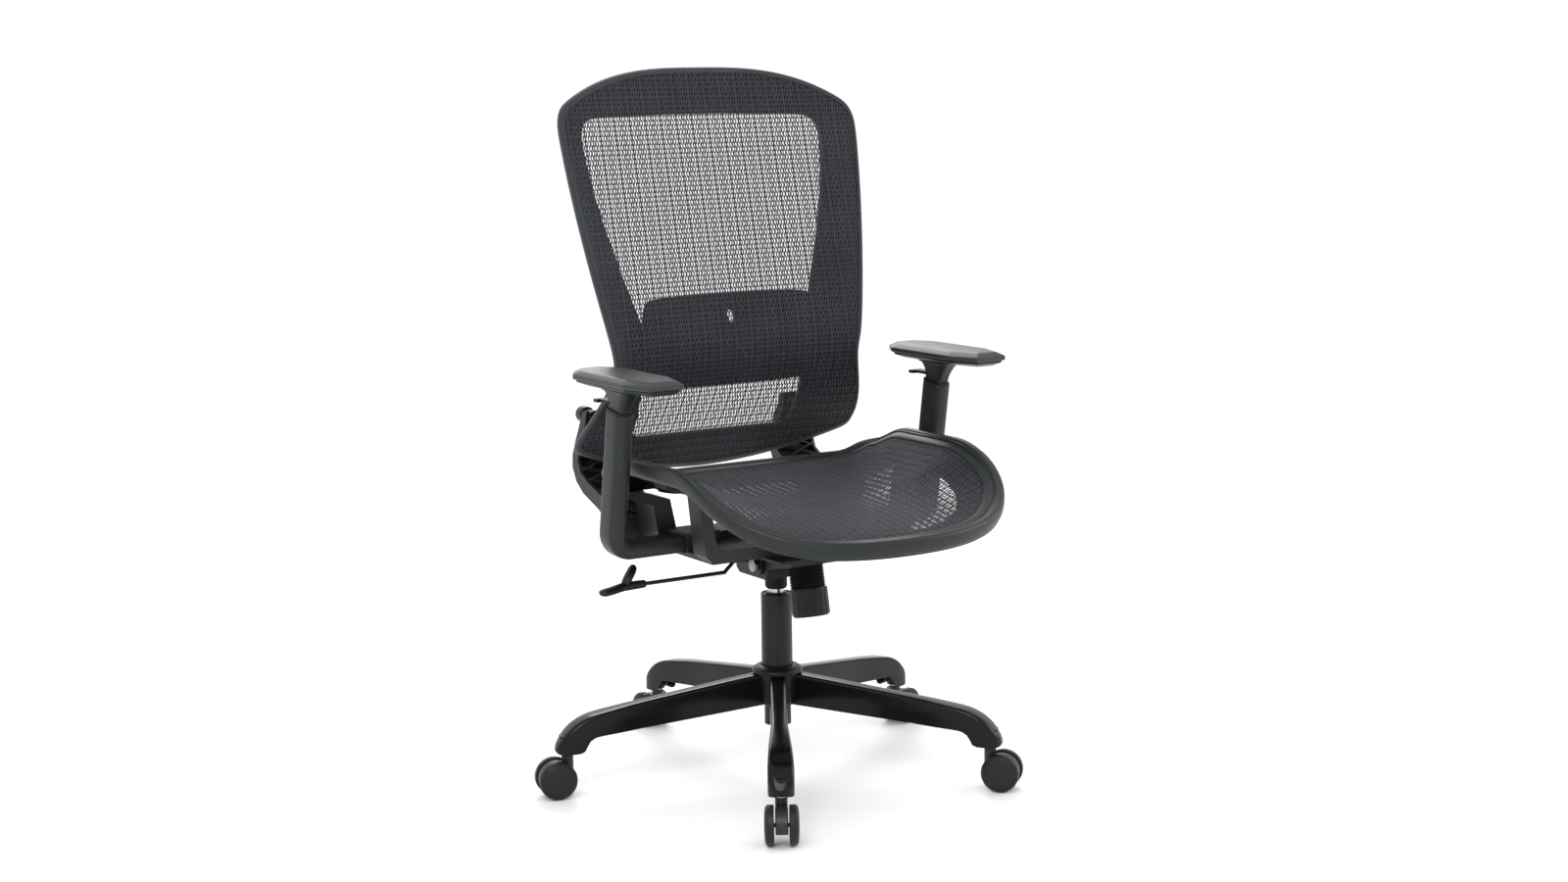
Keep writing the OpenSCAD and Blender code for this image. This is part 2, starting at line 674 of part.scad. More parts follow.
front_beam_y = -105;
front_beam_deep = 37;
rear_beam_y = 38;
rear_beam_deep = 62;

module seat_tray() {
    front_top = rim_top(seat_half - 20, front_beam_y) - rim_depth - seat_gap;
    rear_top = rim_top(seat_half - 34, rear_beam_y + rear_beam_deep) - rim_depth - seat_gap;
    socket_top = bar_floor + bar_height + 6;
    color("#26282a") difference() {
        union() {
            translate([0, front_beam_y + front_beam_deep, 0]) rotate([90, 0, 0])
                linear_extrude(front_beam_deep) tray_cross(front_top, 20, 18);
            translate([0, rear_beam_y + rear_beam_deep, 0]) rotate([90, 0, 0])
                linear_extrude(rear_beam_deep) tray_cross(rear_top, 20, 30);
            translate([-tray_half, front_beam_y + 2, tray_floor])
                cube([2 * tray_half, rear_beam_y - front_beam_y, 8]);
            both_sides() translate([tray_half - 58, elbow_y - socket_half, tray_floor])
                cube([58, 2 * socket_half, socket_top - tray_floor]);
        }
        // Sockets that the arm brackets slide into
        both_sides() translate([tray_half - 50, elbow_y - post_length / 2 - seat_gap, bar_floor])
            cube([60, post_length + 2 * seat_gap, bar_height + seat_gap]);
        both_sides() for (x = [tray_half - 38, tray_half - 16]) translate([x, elbow_y, tray_floor - 1])
            cylinder(d = 6 + 2 * seat_gap, h = 20);
        back_bolt_places() translate([0, 0, -20]) cylinder(d = 8 + 2 * seat_gap, h = 30);
    }
}

// ---------- arms ----------

// Frame of the left post: origin at the elbow, leaning forward with height
module at_post(side) {
    translate([side * arm_x, elbow_y, elbow_z]) rotate([post_lean, 0, 0]) children();
}

post_rise = (post_top - elbow_z) / cos(post_lean);
inner_width = post_width - 9;
inner_length = post_length - 9;
sleeve_wall = 1.5;

module arm_bracket(side) {
    outer = arm_x + post_width / 2;
    inner = arm_x - post_width / 2;
    color("#2e3234") {
        difference() {
            at_post(side) translate([0, 0, 14]) linear_extrude(post_rise - 14) difference() {
                round_rect(post_width, post_length, 11);
                round_rect(inner_width + 2 * sleeve_wall + 2 * seat_gap, inner_length + 2 * sleeve_wall + 2 * seat_gap, 7);
            }
        }
        at_post(side) linear_extrude(14 + eps) round_rect(post_width, post_length, 11);
        translate([0, elbow_y + post_length / 2, 0]) rotate([90, 0, 0]) linear_extrude(post_length)
            mirror([side < 0 ? 1 : 0, 0, 0]) polygon(concat([[tray_half - 48, bar_floor],
                [tray_half + 2, bar_floor]],
                [for (a = [-84 : 14 : 0]) [outer - 24 + 24 * cos(a), bar_floor + 32 + 24 * sin(a)]],
                [[outer, elbow_z + 20], [inner + 2, elbow_z + 20], [inner, elbow_z + 14]],
                [for (a = [0 : -22 : -88]) [inner - 10 + 10 * cos(a), elbow_z + 12 + 8 + 10 * sin(a)]],
                [[tray_half + 2, bar_floor + bar_height], [tray_half - 48, bar_floor + bar_height]]));
    }
}

module arm_sleeve(side) {
    color("#1d1f20") at_post(side) difference() {
        union() {
            translate([0, 0, post_rise - 60]) linear_extrude(62)
                round_rect(inner_width + 2 * sleeve_wall, inner_length + 2 * sleeve_wall, 7);
            translate([0, 0, post_rise + seat_gap]) linear_extrude(3) round_rect(post_width - 2, post_length - 2, 10);
        }
        translate([0, 0, post_rise - 61]) linear_extrude(70)
            round_rect(inner_width + 2 * run_gap, inner_length + 2 * run_gap, 5);
    }
}

neck_top = pad_top - pad_thick - 9;

trigger_y = elbow_y - (neck_top - 24 - elbow_z) * tan(post_lean) + 18;
trigger_z = neck_top - 24;
trigger_pin = 4;

module arm_post(side) {
    lean_y = elbow_y - (neck_top - elbow_z) * tan(post_lean);
    color("#2a2d2f") difference() {
        union() {
            at_post(side) translate([0, 0, post_rise - 105]) linear_extrude(114) round_rect(inner_width, inner_length, 5);
            hull() {
                at_post(side) translate([0, 0, post_rise + 6]) linear_extrude(1)
                    round_rect(inner_width - 1, inner_length - 1, 4.5);
                translate([side * arm_x, lean_y - 2, neck_top - 6]) cube([36, 84, 12], center = true);
            }
            translate([side * arm_x, lean_y - 2, neck_top - 1]) cylinder(d = 24, h = 5);
        }
        // Slot and pin hole of the trigger
        translate([side * arm_x - 8.5, trigger_y - 8, trigger_z - 5]) cube([17, 60, 13]);
        translate([side * arm_x, trigger_y, trigger_z]) rotate([0, 90, 0])
            cylinder(d = trigger_pin + 2 * run_gap, h = 50, center = true);
    }
}

module arm_trigger(side) {
    color("#151617") translate([side * arm_x, trigger_y, trigger_z]) {
        translate([-8, -4, -2.5]) cube([16, 44, 4.5]);
        rotate([0, 90, 0]) cylinder(d = trigger_pin, h = 25, center = true);
        translate([-12, 34, -3.5]) cube([24, 12, 5]);
    }
}

pad_mid_y = -58;
pivot_y = elbow_y - (neck_top - elbow_z) * tan(post_lean) - 2;

module arm_plate(side) {
    color("#222425") translate([side * arm_x, 0, neck_top + seat_gap + part_gap]) difference() {
        translate([0, pad_mid_y, 0]) linear_extrude(9 - 2 * part_gap - seat_gap) round_rect(pad_width - 26, pad_length - 60, 14);
        translate([0, pivot_y, -1]) cylinder(d = 24 + 2 * run_gap, h = 20);
    }
}

// Pad outline: a long hexagon with blunt ends
module pad_outline(inset) {
    l = pad_length / 2 - inset;
    w = pad_width / 2 - inset;
    polygon([[w - 16, -l], [w, -l + 42], [w, l - 30], [w - 20, l], [-w + 20, l], [-w, l - 30], [-w, -l + 42], [-w + 16, -l]]);
}

module arm_pad(side) {
    low = pad_top - pad_thick;
    color("#33373a") translate([side * arm_x, pad_mid_y, low]) mirror([side > 0 ? 1 : 0, 0, 0]) {
        hull() {
            linear_extrude(0.5) pad_outline(9);
            translate([0, 0, 6]) linear_extrude(1) pad_outline(0);
            translate([0, 0, pad_thick - 0.5]) linear_extrude(0.5) pad_outline(12);
        }
    }
}

module arm_bolts() {
    color("silver") both_sides() for (x = [tray_half - 38, tray_half - 16])
        translate([x, elbow_y, tray_floor - 4 - seat_gap]) {
            cylinder(d = 12, h = 4);
            translate([0, 0, 3]) cylinder(d = 6, h = bar_floor - tray_floor + 1 - 2 * seat_gap);
        }
}

// ---------- back ----------

function back_y(z) = z > waist_height + 20
    ? let (d = z - waist_height - 20) waist_back + 0.2456 * d * d / (d + 30)
    : let (d = min(waist_height + 20 - z, 150)) waist_back + 0.00336 * d * d
        + 0.7 * max(0, waist_height - 130 - z);
function back_half(z) = z > waist_height
    ? let (u = (z - waist_height) / (back_top - 71 - waist_height))
        (waist_width + (back_width - waist_width) * (1 - pow(max(0, 1 - u), 1.6))) / 2
    : (waist_width + (lower_width - waist_width) * smooth((waist_height - z) / 140)) / 2;

// Point on the back: u runs from -1 to 1 across, v from 0 at the lower edge to 1 at the top
function back_point(u, v, hollow, push) =
    let (low = back_low + 54 * u * u, high = back_top - 58 * pow(abs(u), 3), z = mix(low, high, v),
        corner = 1 - 0.045 * pow(max(0, (v - 0.94) / 0.06), 2) * pow(abs(u), 3))
    [u * back_half(z) * corner, back_y(z) + hollow + push, z];

// How far the frame's face lies behind the line of its two side edges
function frame_recess(u, v) =
    let (deep = mix(0.42, 1, smooth((mix(back_low, back_top, v) - 520) / 110)))
    mesh_bow(u) + frame_dish * deep * (1 - pow(abs(u), 6)) * (1 - pow(abs(2 * v - 1), 14));
// Rear face of the frame behind a point of the elevation
function frame_back(x, z) = let (u = x / back_half(z), low = back_low + 54 * u * u, high = back_top - 58 * pow(abs(u), 3))
    back_y(z) + frame_recess(u, (z - low) / (high - low)) + frame_thick;
function mesh_bow(u) = 22 * (1 - u * u);

grid_u = 22;
grid_v = 28;
function across(k) = sin(90 * (2 * k / grid_u - 1));
function upward(i) = (1 - cos(180 * i / grid_v)) / 2;

module window_outline() {
    foot = back_low + 64;
    roof = back_top - 74;
    polygon(concat(
        [for (z = [foot + 20 : 24 : roof - 36]) [window_half(z), z]],
        [for (a = [0 : 15 : 90]) [window_half(roof - 30) - 30 + 30 * cos(a), roof - 36 + 24 * sin(a)]],
        [[60, roof], [-60, roof]],
        [for (a = [90 : 15 : 180]) [-window_half(roof - 30) + 30 + 30 * cos(a), roof - 36 + 24 * sin(a)]],
        [for (z = [roof - 36 : -24 : foot + 20]) [-window_half(z), z]],
        [for (a = [180 : 22.5 : 270]) [-window_half(foot) + 18 + 18 * cos(a), foot + 18 + 14 * sin(a)]],
        [[-60, foot], [60, foot]],
        [for (a = [270 : 22.5 : 360]) [window_half(foot) - 18 + 18 * cos(a), foot + 18 + 14 * sin(a)]]));
}
function window_half(z) = back_half(z) - mix(86, 50, smooth((z - 640) / 360)) - 20 * smooth((620 - z) / 60);

module back_frame() {
    front = [for (i = [0 : grid_v]) [for (k = [0 : grid_u])
        back_point(across(k), upward(i), frame_recess(across(k), upward(i)), 0)]];
    rear = [for (row = front) [for (p = row) p + [0, frame_thick, 0]]];
    color("#17181a") difference() {
        sheet(front, rear);
        translate([0, 400, 0]) rotate([90, 0, 0]) linear_extrude(400) window_outline();
        both_sides() for (x = back_screw_x) translate([x, 100, back_screw_z]) rotate([-90, 0, 0])
            cylinder(d = 5 + 2 * seat_gap, h = 200);
    }
}

module back_mesh() {
    front = [for (i = [0 : grid_v]) [for (k = [0 : grid_u])
        back_point(across(k), upward(i), mesh_bow(across(k)), -mesh_thick - 0.3)]];
    rear = [for (row = front) [for (p = row) p + [0, mesh_thick, 0]]];
    color("#4a4e54") sheet(front, rear);
}

lumbar_mid = 695;

module lumbar_pad() {
    low = lumbar_mid - lumbar_height / 2;
    rows = 10;
    cols = 14;
    function half(z) = mix(176, 156, smooth((z - low - lumbar_height * 0.7) / (lumbar_height * 0.3)));
    function place(i, k) = let (z = low + lumbar_height * i / rows, u = 2 * k / cols - 1, x = u * half(z),
        e = x / back_half(z)) [x, back_y(z) + mesh_bow(e) + 3.5 + 3 * e * e + 7 * pow((z - lumbar_mid) / lumbar_height * 2, 2), z];
    front = [for (i = [0 : rows]) [for (k = [0 : cols]) place(i, k)]];
    rear = [for (row = front) [for (p = row) p + [0, lumbar_thick, 0]]];
    color("#141517") sheet(front, rear);
}

// Side profile of a back arm: from under the seat, round the bottom and up behind the back frame
module back_arm_side() {
    polygon([[back_arm_y, tray_floor + 7], [169, 432], [222, 451], [246, 468], [258, 490], [257, 510], [246, 534],
        [233, 556], [218, 586], [203, 588], [210, 564], [223, 541], [233, 520], [238, 503], [231, 485], [207, 472],
        [160, 456], [back_arm_y, tray_floor + 50]]);
}

back_screw_x = [166, 200];
back_screw_z = 556;
knob_x = 213;
knob_z = 578;
knob_y = 230;
back_arm_y = rear_beam_y + rear_beam_deep + seat_gap;
flange = 8;

module back_bolt_places() {
    both_sides() for (x = [162, 182]) translate([x, back_arm_y, tray_floor + 28]) rotate([-90, 0, 0]) children();
}

module back_arm(side) {
    inner = 150;
    width = 78;
    skin = 5;
    color("#202224") difference() {
        union() {
            mirror([side < 0 ? 1 : 0, 0, 0]) {
                for (x = [inner, inner + width - skin]) translate([x, 0, 0]) rotate([90, 0, 90])
                    linear_extrude(skin) back_arm_side();
                translate([inner + 2, 0, 0]) rotate([90, 0, 90]) linear_extrude(width - 4) difference() {
                    back_arm_side();
                    translate([-skin, skin / 2]) back_arm_side();
                }
                translate([inner, back_arm_y, tray_floor + 8]) cube([width, flange, 41]);
                for (x = back_screw_x) let (y = frame_back(x - 7, back_screw_z - 7) + 1)
                    translate([x, y, back_screw_z]) rotate([-90, 0, 0]) cylinder(d = 14, h = 230 - y);
                translate([knob_x, knob_y - 25, knob_z]) rotate([-90, 0, 0]) cylinder(d = 18, h = 25 - part_gap);
            }
        }
        back_bolt_places() translate([0, 0, -1]) cylinder(d = 8 + 2 * seat_gap, h = flange + 2);
        both_sides() {
            for (x = back_screw_x) translate([x, 150, back_screw_z]) rotate([-90, 0, 0])
                cylinder(d = 5 + 2 * seat_gap, h = 100);
            translate([knob_x, knob_y - 28, knob_z]) rotate([-90, 0, 0]) cylinder(d = 10 + 2 * run_gap, h = 40);
        }
    }
}

module back_bolts() {
    color("silver") back_bolt_places() {
        translate([0, 0, flange + seat_gap]) cylinder(d = 13, h = 5);
        translate([0, 0, -18]) cylinder(d = 8, h = flange + 19);
    }
}

module back_screws() {
    head = 236.5;
    color("silver") both_sides() for (x = back_screw_x) {
        translate([x, frame_back(x, back_screw_z) - 9, back_screw_z]) rotate([-90, 0, 0])
            cylinder(d = 5, h = head - frame_back(x, back_screw_z) + 10);
        translate([x, head, back_screw_z]) rotate([-90, 0, 0]) cylinder(d = 10, h = 3);
    }
}

module lumbar_knob(side) {
    color("#3c4043") translate([side * knob_x, knob_y, knob_z]) rotate([-90, 0, 0]) {
        cylinder(d = 26, h = 16);
        translate([0, 0, -15]) cylinder(d = 10, h = 16);
    }
}

// ---------- the chair ----------

base_star();
hub_collar();
outer_tube();
guide_bush();
thrust_bearing();
retaining_clip();
caster_stem(0);  // caster_stem_1
caster_stem(1);  // caster_stem_2
caster_stem(2);  // caster_stem_3
caster_stem(3);  // caster_stem_4
caster_stem(4);  // caster_stem_5
caster_hood(0);  // caster_hood_1
caster_hood(1);  // caster_hood_2
caster_hood(2);  // caster_hood_3
caster_hood(3);  // caster_hood_4
caster_hood(4);  // caster_hood_5
caster_wheels(0);  // caster_wheels_1
caster_wheels(1);  // caster_wheels_2
caster_wheels(2);  // caster_wheels_3
caster_wheels(3);  // caster_wheels_4
caster_wheels(4);  // caster_wheels_5
piston_rod();
gas_cylinder();
release_pin();
mechanism_housing();
column_boot();
tilt_shaft();
tension_bolt();
tension_spring();
spring_boot();
tension_knob();
lock_bush();
lever_rod();
lever_grip();
seat_plate();
seat_tray();
seat_rim();
seat_mesh();
arm_bracket(-1);  // arm_bracket_left
arm_bracket(1);  // arm_bracket_right
arm_sleeve(-1);  // arm_sleeve_left
arm_sleeve(1);  // arm_sleeve_right
arm_bolts();
arm_post(-1);  // arm_post_left
arm_post(1);  // arm_post_right
arm_trigger(-1);  // arm_trigger_left
arm_trigger(1);  // arm_trigger_right
arm_plate(-1);  // arm_plate_left
arm_plate(1);  // arm_plate_right
arm_pad(-1);  // arm_pad_left
arm_pad(1);  // arm_pad_right
back_arm(-1);  // back_arm_left
back_arm(1);  // back_arm_right
back_bolts();
back_screws();
back_frame();
back_mesh();
lumbar_pad();
lumbar_knob(-1);  // lumbar_knob_left
lumbar_knob(1);  // lumbar_knob_right
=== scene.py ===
"""Swivel office chair: looks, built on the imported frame.

Lengths are in millimetres and build() turns them into metres. The frame's origin is on the floor under
the column, the chair faces -Y and +Z is up.
"""
import json
import math

import bpy  # noqa: E402
import numpy as np  # noqa: E402
from mathutils import Matrix, Vector  # noqa: E402


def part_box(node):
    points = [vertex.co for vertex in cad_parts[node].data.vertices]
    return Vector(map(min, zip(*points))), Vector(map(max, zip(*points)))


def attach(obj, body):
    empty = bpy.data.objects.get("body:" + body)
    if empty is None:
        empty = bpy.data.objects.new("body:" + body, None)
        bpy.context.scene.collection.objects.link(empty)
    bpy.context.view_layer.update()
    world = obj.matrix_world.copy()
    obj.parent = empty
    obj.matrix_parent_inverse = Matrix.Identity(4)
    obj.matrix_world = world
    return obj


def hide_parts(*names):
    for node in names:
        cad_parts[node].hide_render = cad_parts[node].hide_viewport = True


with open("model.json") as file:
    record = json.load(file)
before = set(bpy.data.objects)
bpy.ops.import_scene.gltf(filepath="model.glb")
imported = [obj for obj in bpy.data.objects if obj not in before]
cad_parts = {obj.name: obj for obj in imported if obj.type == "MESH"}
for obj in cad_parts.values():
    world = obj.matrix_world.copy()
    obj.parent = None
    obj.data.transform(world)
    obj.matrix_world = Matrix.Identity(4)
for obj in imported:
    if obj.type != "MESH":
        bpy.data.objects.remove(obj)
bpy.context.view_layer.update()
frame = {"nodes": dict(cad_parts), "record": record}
MM = 0.001


# ---------- camera ----------

CAM_AZIMUTH, CAM_ELEVATION, CAM_ROLL = (math.radians(a) for a in (-32.17, 8.66, -0.76))
CAM_DISTANCE, CAM_HEIGHT, CAM_ASIDE = 3.7, 0.54324, 0.01573
CAM_LENS, CAM_SENSOR = 53.46, 36.0


def add_camera():
    back = Vector((math.sin(CAM_AZIMUTH) * math.cos(CAM_ELEVATION),
                   -math.cos(CAM_AZIMUTH) * math.cos(CAM_ELEVATION), math.sin(CAM_ELEVATION)))
    level = Vector((math.cos(CAM_AZIMUTH), math.sin(CAM_AZIMUTH), 0))
    above = back.cross(level)
    right = level * math.cos(CAM_ROLL) + above * math.sin(CAM_ROLL)
    up = above * math.cos(CAM_ROLL) - level * math.sin(CAM_ROLL)
    place = Vector((0, 0, CAM_HEIGHT)) + right * CAM_ASIDE + back * CAM_DISTANCE
    data = bpy.data.cameras.new("camera")
    data.lens, data.sensor_width = CAM_LENS, CAM_SENSOR
    cam = bpy.data.objects.new("camera", data)
    cam.matrix_world = Matrix((right, up, back)).transposed().to_4x4()
    cam.matrix_world.translation = place
    bpy.context.scene.collection.objects.link(cam)
    bpy.context.scene.camera = cam


add_camera()


# ---------- materials ----------

def material(name, colour, rough, metal=0.0, coat=0.0, coat_rough=0.1, grain=900.0, bump=0.08, vary=0.12,
             sheen=0.0, depth=0.0002, specular=0.5, streak=None):
    """Moulded, painted or plated surface: its colour and roughness vary softly and a fine grain roughens it."""
    mat = bpy.data.materials.new(name)
    mat.use_nodes = True
    nodes, links = mat.node_tree.nodes, mat.node_tree.links
    bsdf = nodes["Principled BSDF"]
    bsdf.inputs["Metallic"].default_value = metal
    bsdf.inputs["Coat Weight"].default_value = coat
    bsdf.inputs["Coat Roughness"].default_value = coat_rough
    bsdf.inputs["Sheen Weight"].default_value = sheen
    bsdf.inputs["Specular IOR Level"].default_value = specular
    place = nodes.new("ShaderNodeTexCoord")
    source = place.outputs["Object"]
    if streak:
        mapping = nodes.new("ShaderNodeMapping")
        mapping.inputs["Scale"].default_value = streak
        links.new(source, mapping.inputs["Vector"])
        source = mapping.outputs["Vector"]
    cloud = nodes.new("ShaderNodeTexNoise")
    cloud.inputs["Scale"].default_value = 14.0
    cloud.inputs["Detail"].default_value = 4.0
    links.new(source, cloud.inputs["Vector"])
    ramp = nodes.new("ShaderNodeValToRGB")
    low, high = (tuple(c * k for c in colour) + (1.0,) for k in (1 - vary, 1 + vary))
    ramp.color_ramp.elements[0].position, ramp.color_ramp.elements[0].color = 0.3, low
    ramp.color_ramp.elements[1].position, ramp.color_ramp.elements[1].color = 0.7, high
    links.new(cloud.outputs["Fac"], ramp.inputs["Fac"])
    links.new(ramp.outputs["Color"], bsdf.inputs["Base Color"])
    scuff = nodes.new("ShaderNodeMapRange")
    scuff.inputs["To Min"].default_value = max(0.02, rough * 0.85)
    scuff.inputs["To Max"].default_value = min(1.0, rough * 1.15)
    links.new(cloud.outputs["Fac"], scuff.inputs["Value"])
    links.new(scuff.outputs["Result"], bsdf.inputs["Roughness"])
    fine = nodes.new("ShaderNodeTexNoise")
    fine.inputs["Scale"].default_value = grain
    fine.inputs["Detail"].default_value = 2.0
    links.new(source, fine.inputs["Vector"])
    relief = nodes.new("ShaderNodeBump")
    relief.inputs["Strength"].default_value = bump
    relief.inputs["Distance"].default_value = depth
    links.new(fine.outputs["Fac"], relief.inputs["Height"])
    links.new(relief.outputs["Normal"], bsdf.inputs["Normal"])
    return mat


MATS = {
    "gloss_black": material("enamel", (0.003, 0.0035, 0.004), 0.19, coat=0.06, coat_rough=0.08, grain=260, bump=0.03,
                            specular=0.16),
    "satin_black": material("powder_coat", (0.006, 0.0065, 0.007), 0.4, grain=1500, bump=0.12, specular=0.25),
    "black_plastic": material("nylon_black", (0.004, 0.0045, 0.005), 0.42, grain=1400, bump=0.12, specular=0.25),
    "dark_plastic": material("nylon_charcoal", (0.011, 0.0135, 0.0145), 0.42, grain=1300, bump=0.15, specular=0.3),
    "caster_black": material("caster_nylon", (0.009, 0.0105, 0.0125), 0.45, grain=1200, bump=0.15, specular=0.25),
    "caster_grey": material("hood_nylon", (0.013, 0.015, 0.017), 0.38, grain=1200, bump=0.12, specular=0.35),
    "rubber_black": material("rubber", (0.004, 0.004, 0.0045), 0.6, grain=800, bump=0.15, specular=0.2),
    "pad_soft": material("pad_skin", (0.021, 0.025, 0.027), 0.42, grain=1100, bump=0.3, depth=0.0003, specular=0.4),
    "steel": material("zinc_steel", (0.3, 0.3, 0.31), 0.34, metal=1.0, grain=700, bump=0.06),
    "chrome": material("chrome", (0.42, 0.43, 0.45), 0.22, metal=1.0, grain=300, bump=0.01, vary=0.03),
    "mesh_fabric": material("mesh_yarn", (0.017, 0.0195, 0.025), 0.55, grain=2600, bump=0.5, depth=0.0003, sheen=0.12,
                            vary=0.3, specular=0.25),
}


# ---------- mesh helpers ----------

def build(name, points, faces, body, slot, replaces=(), smooth=40, bevel=0.0, segments=2, subdivide=0):
    """A mesh piece from points in millimetres. smooth is the angle in degrees under which faces shade smoothly."""
    data = bpy.data.meshes.new(name)
    data.from_pydata([tuple(float(c) * MM for c in p) for p in points], [], [tuple(int(i) for i in f) for f in faces])
    data.validate()
    piece = bpy.data.objects.new(name, data)
    bpy.context.scene.collection.objects.link(piece)
    data.materials.append(MATS[slot])
    finish_edges(piece, smooth, bevel, segments, subdivide)
    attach(piece, body)
    if replaces:
        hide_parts(*replaces)
    return piece


def finish_edges(piece, smooth=40, bevel=0.0, segments=2, subdivide=0):
    if bevel:
        mod = piece.modifiers.new("edges", "BEVEL")
        mod.width, mod.segments = bevel * MM, segments
        mod.limit_method, mod.angle_limit = "ANGLE", math.radians(35)
        mod.harden_normals = False
    if subdivide:
        mod = piece.modifiers.new("round", "SUBSURF")
        mod.levels = mod.render_levels = subdivide
    piece.data.shade_smooth()
    piece.data.set_sharp_from_angle(angle=math.radians(smooth))


def join_parts(parts):
    """One list of points and one of faces from several (points, faces)."""
    points, faces, start = [], [], 0
    for p, f in parts:
        points.extend(p)
        faces.extend([[i + start for i in face] for face in f])
        start += len(p)
    return points, faces


def loft(rings, closed=True, caps=True, loop=False):
    """Faces over rings of equal length. closed joins each ring's ends, loop joins the last ring to the first."""
    n, m = len(rings[0]), len(rings)
    points = [p for ring in rings for p in ring]
    faces = []
    for j in range(m if loop else m - 1):
        a, b = j * n, (j + 1) % m * n
        for i in range(n if closed else n - 1):
            k = (i + 1) % n
            faces.append([a + i, a + k, b + k, b + i])
    if caps and not loop:
        faces.append(list(range(n))[::-1])
        faces.append([(m - 1) * n + i for i in range(n)])
    return points, faces


def revolve(profile, steps=64, centre=(0, 0, 0), axis=(0, 0, 1), loop=True):
    """Turns a profile of (radius, height) round an axis through centre. loop closes the profile."""
    turn = Vector((0, 0, 1)).rotation_difference(Vector(axis)).to_matrix()
    rings = []
    for i in range(steps):
        a = 2 * math.pi * i / steps
        rings.append([Vector(centre) + turn @ Vector((r * math.cos(a), r * math.sin(a), h)) for r, h in profile])
    return loft(rings, closed=loop, caps=False, loop=True)


BOX_FACES = [[3, 2, 1, 0], [4, 5, 6, 7], [0, 1, 5, 4], [1, 2, 6, 5], [2, 3, 7, 6], [3, 0, 4, 7]]


def box_part(low, high):
    (x0, y0, z0), (x1, y1, z1) = low, high
    points = [(x, y, z) for z in (z0, z1) for x, y in ((x0, y0), (x1, y0), (x1, y1), (x0, y1))]
    return points, BOX_FACES


def round_corners(path, times=2):
    """Cuts the corners of a closed outline, Chaikin's way."""
    for _ in range(times):
        path = [tuple(share * s + (1 - share) * t for s, t in zip(a, b))
                for a, b in zip(path, path[1:] + path[:1]) for share in (0.75, 0.25)]
    return path


def smoothstep(t):
    t = np.clip(t, 0, 1)
    return t * t * (3 - 2 * t)


def box_mm(node):
    low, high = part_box(node)
    return [c / MM for c in low], [c / MM for c in high]


# ---------- base ----------

LEGS = 5
BASE_TURN = math.radians(-121.4)
STEM_REACH = 350.0
TRAIL = 19.0
HUB_TOP = box_mm("base_star")[1][2]


def leg_frame(i):
    return Matrix.Rotation(BASE_TURN + 2 * math.pi * i / LEGS, 3, "Z")


LEG_ROOF = [(26, 169), (88, 161), (154, 152), (248, 139), (307, 129), (320, 125.5), (330, 121), (341, 115), (351, 106),
            (358, 99), (363, 92), (367, 85), (369.8, 78)]
LEG_FLOOR = [(26, 118), (265, 97), (300, 94.6), (308, 93), (316, 88.5), (321, 81), (325, 73.5), (331, 70.4), (340, 70),
             (362, 70), (367, 71.2), (369.8, 74)]
LEG_ROOT_HALF, LEG_END_HALF, LEG_WALL = 13.0, 20.0, 2.4
LEG_PLACES = [26, 60, 90, 120, 154, 190, 220, 248, 265, 280, 294, 302, 308, 312, 316, 319, 322, 325, 328, 332, 336, 340,
              344, 348, 352, 356, 359, 362, 364.5, 366.5, 368.2, 369.4]


def leg_half(r):
    if r > STEM_REACH - 12:
        return math.sqrt(max(LEG_END_HALF ** 2 - max(r - STEM_REACH, 0) ** 2, 4))
    return float(np.interp(r, [220, 300, 338], [LEG_ROOT_HALF, 17.9, LEG_END_HALF]))


def leg_part():
    """Pressed leg: an upside-down channel whose section is lofted out from the hub to over the caster."""
    rings = []
    for r in LEG_PLACES:
        low = float(np.interp(r, *zip(*LEG_FLOOR)))
        reach = min(7, STEM_REACH + LEG_END_HALF - r)
        top = float(np.mean(np.interp(np.linspace(r - reach, r + reach, 9), *zip(*LEG_ROOF))))
        half = leg_half(r)
        soft = min(4.6 + 5 * max(0, r - 290) / 60, half * 0.6, (top - low) * 0.4)
        inner = max(half - LEG_WALL, 0.6)
        roof = top - LEG_WALL
        arc = [(math.cos(t), math.sin(t)) for t in np.radians(np.linspace(0, 90, 6))]
        outer = [(half, low)] + [(half - soft + soft * c, top - soft + soft * s) for c, s in arc]
        outer += [(-y, z) for y, z in outer[::-1]]
        depth = min(soft * 0.8, (roof - low) * 0.5)
        hollow = [(-inner, low)] + [(-inner + depth * (1 - c), roof - depth * (1 - s)) for c, s in arc]
        hollow += [(-y, z) for y, z in hollow[::-1]]
        rings.append([(r, y, z) for y, z in outer + hollow])
    return loft(rings, caps=True)


def socket_part():
    """Round socket under a leg's end that holds a caster's stem."""
    bore = 5.6
    return revolve([(bore, 70.5), (12.5, 70.5), (13, 71.5), (13, 98), (bore, 98)], 32, (STEM_REACH, 0, 0))


def turned(part, i):
    """A leg's part turned to the place of leg i."""
    points, faces = part
    turn = leg_frame(i)
    return [turn @ Vector(p) for p in points], faces


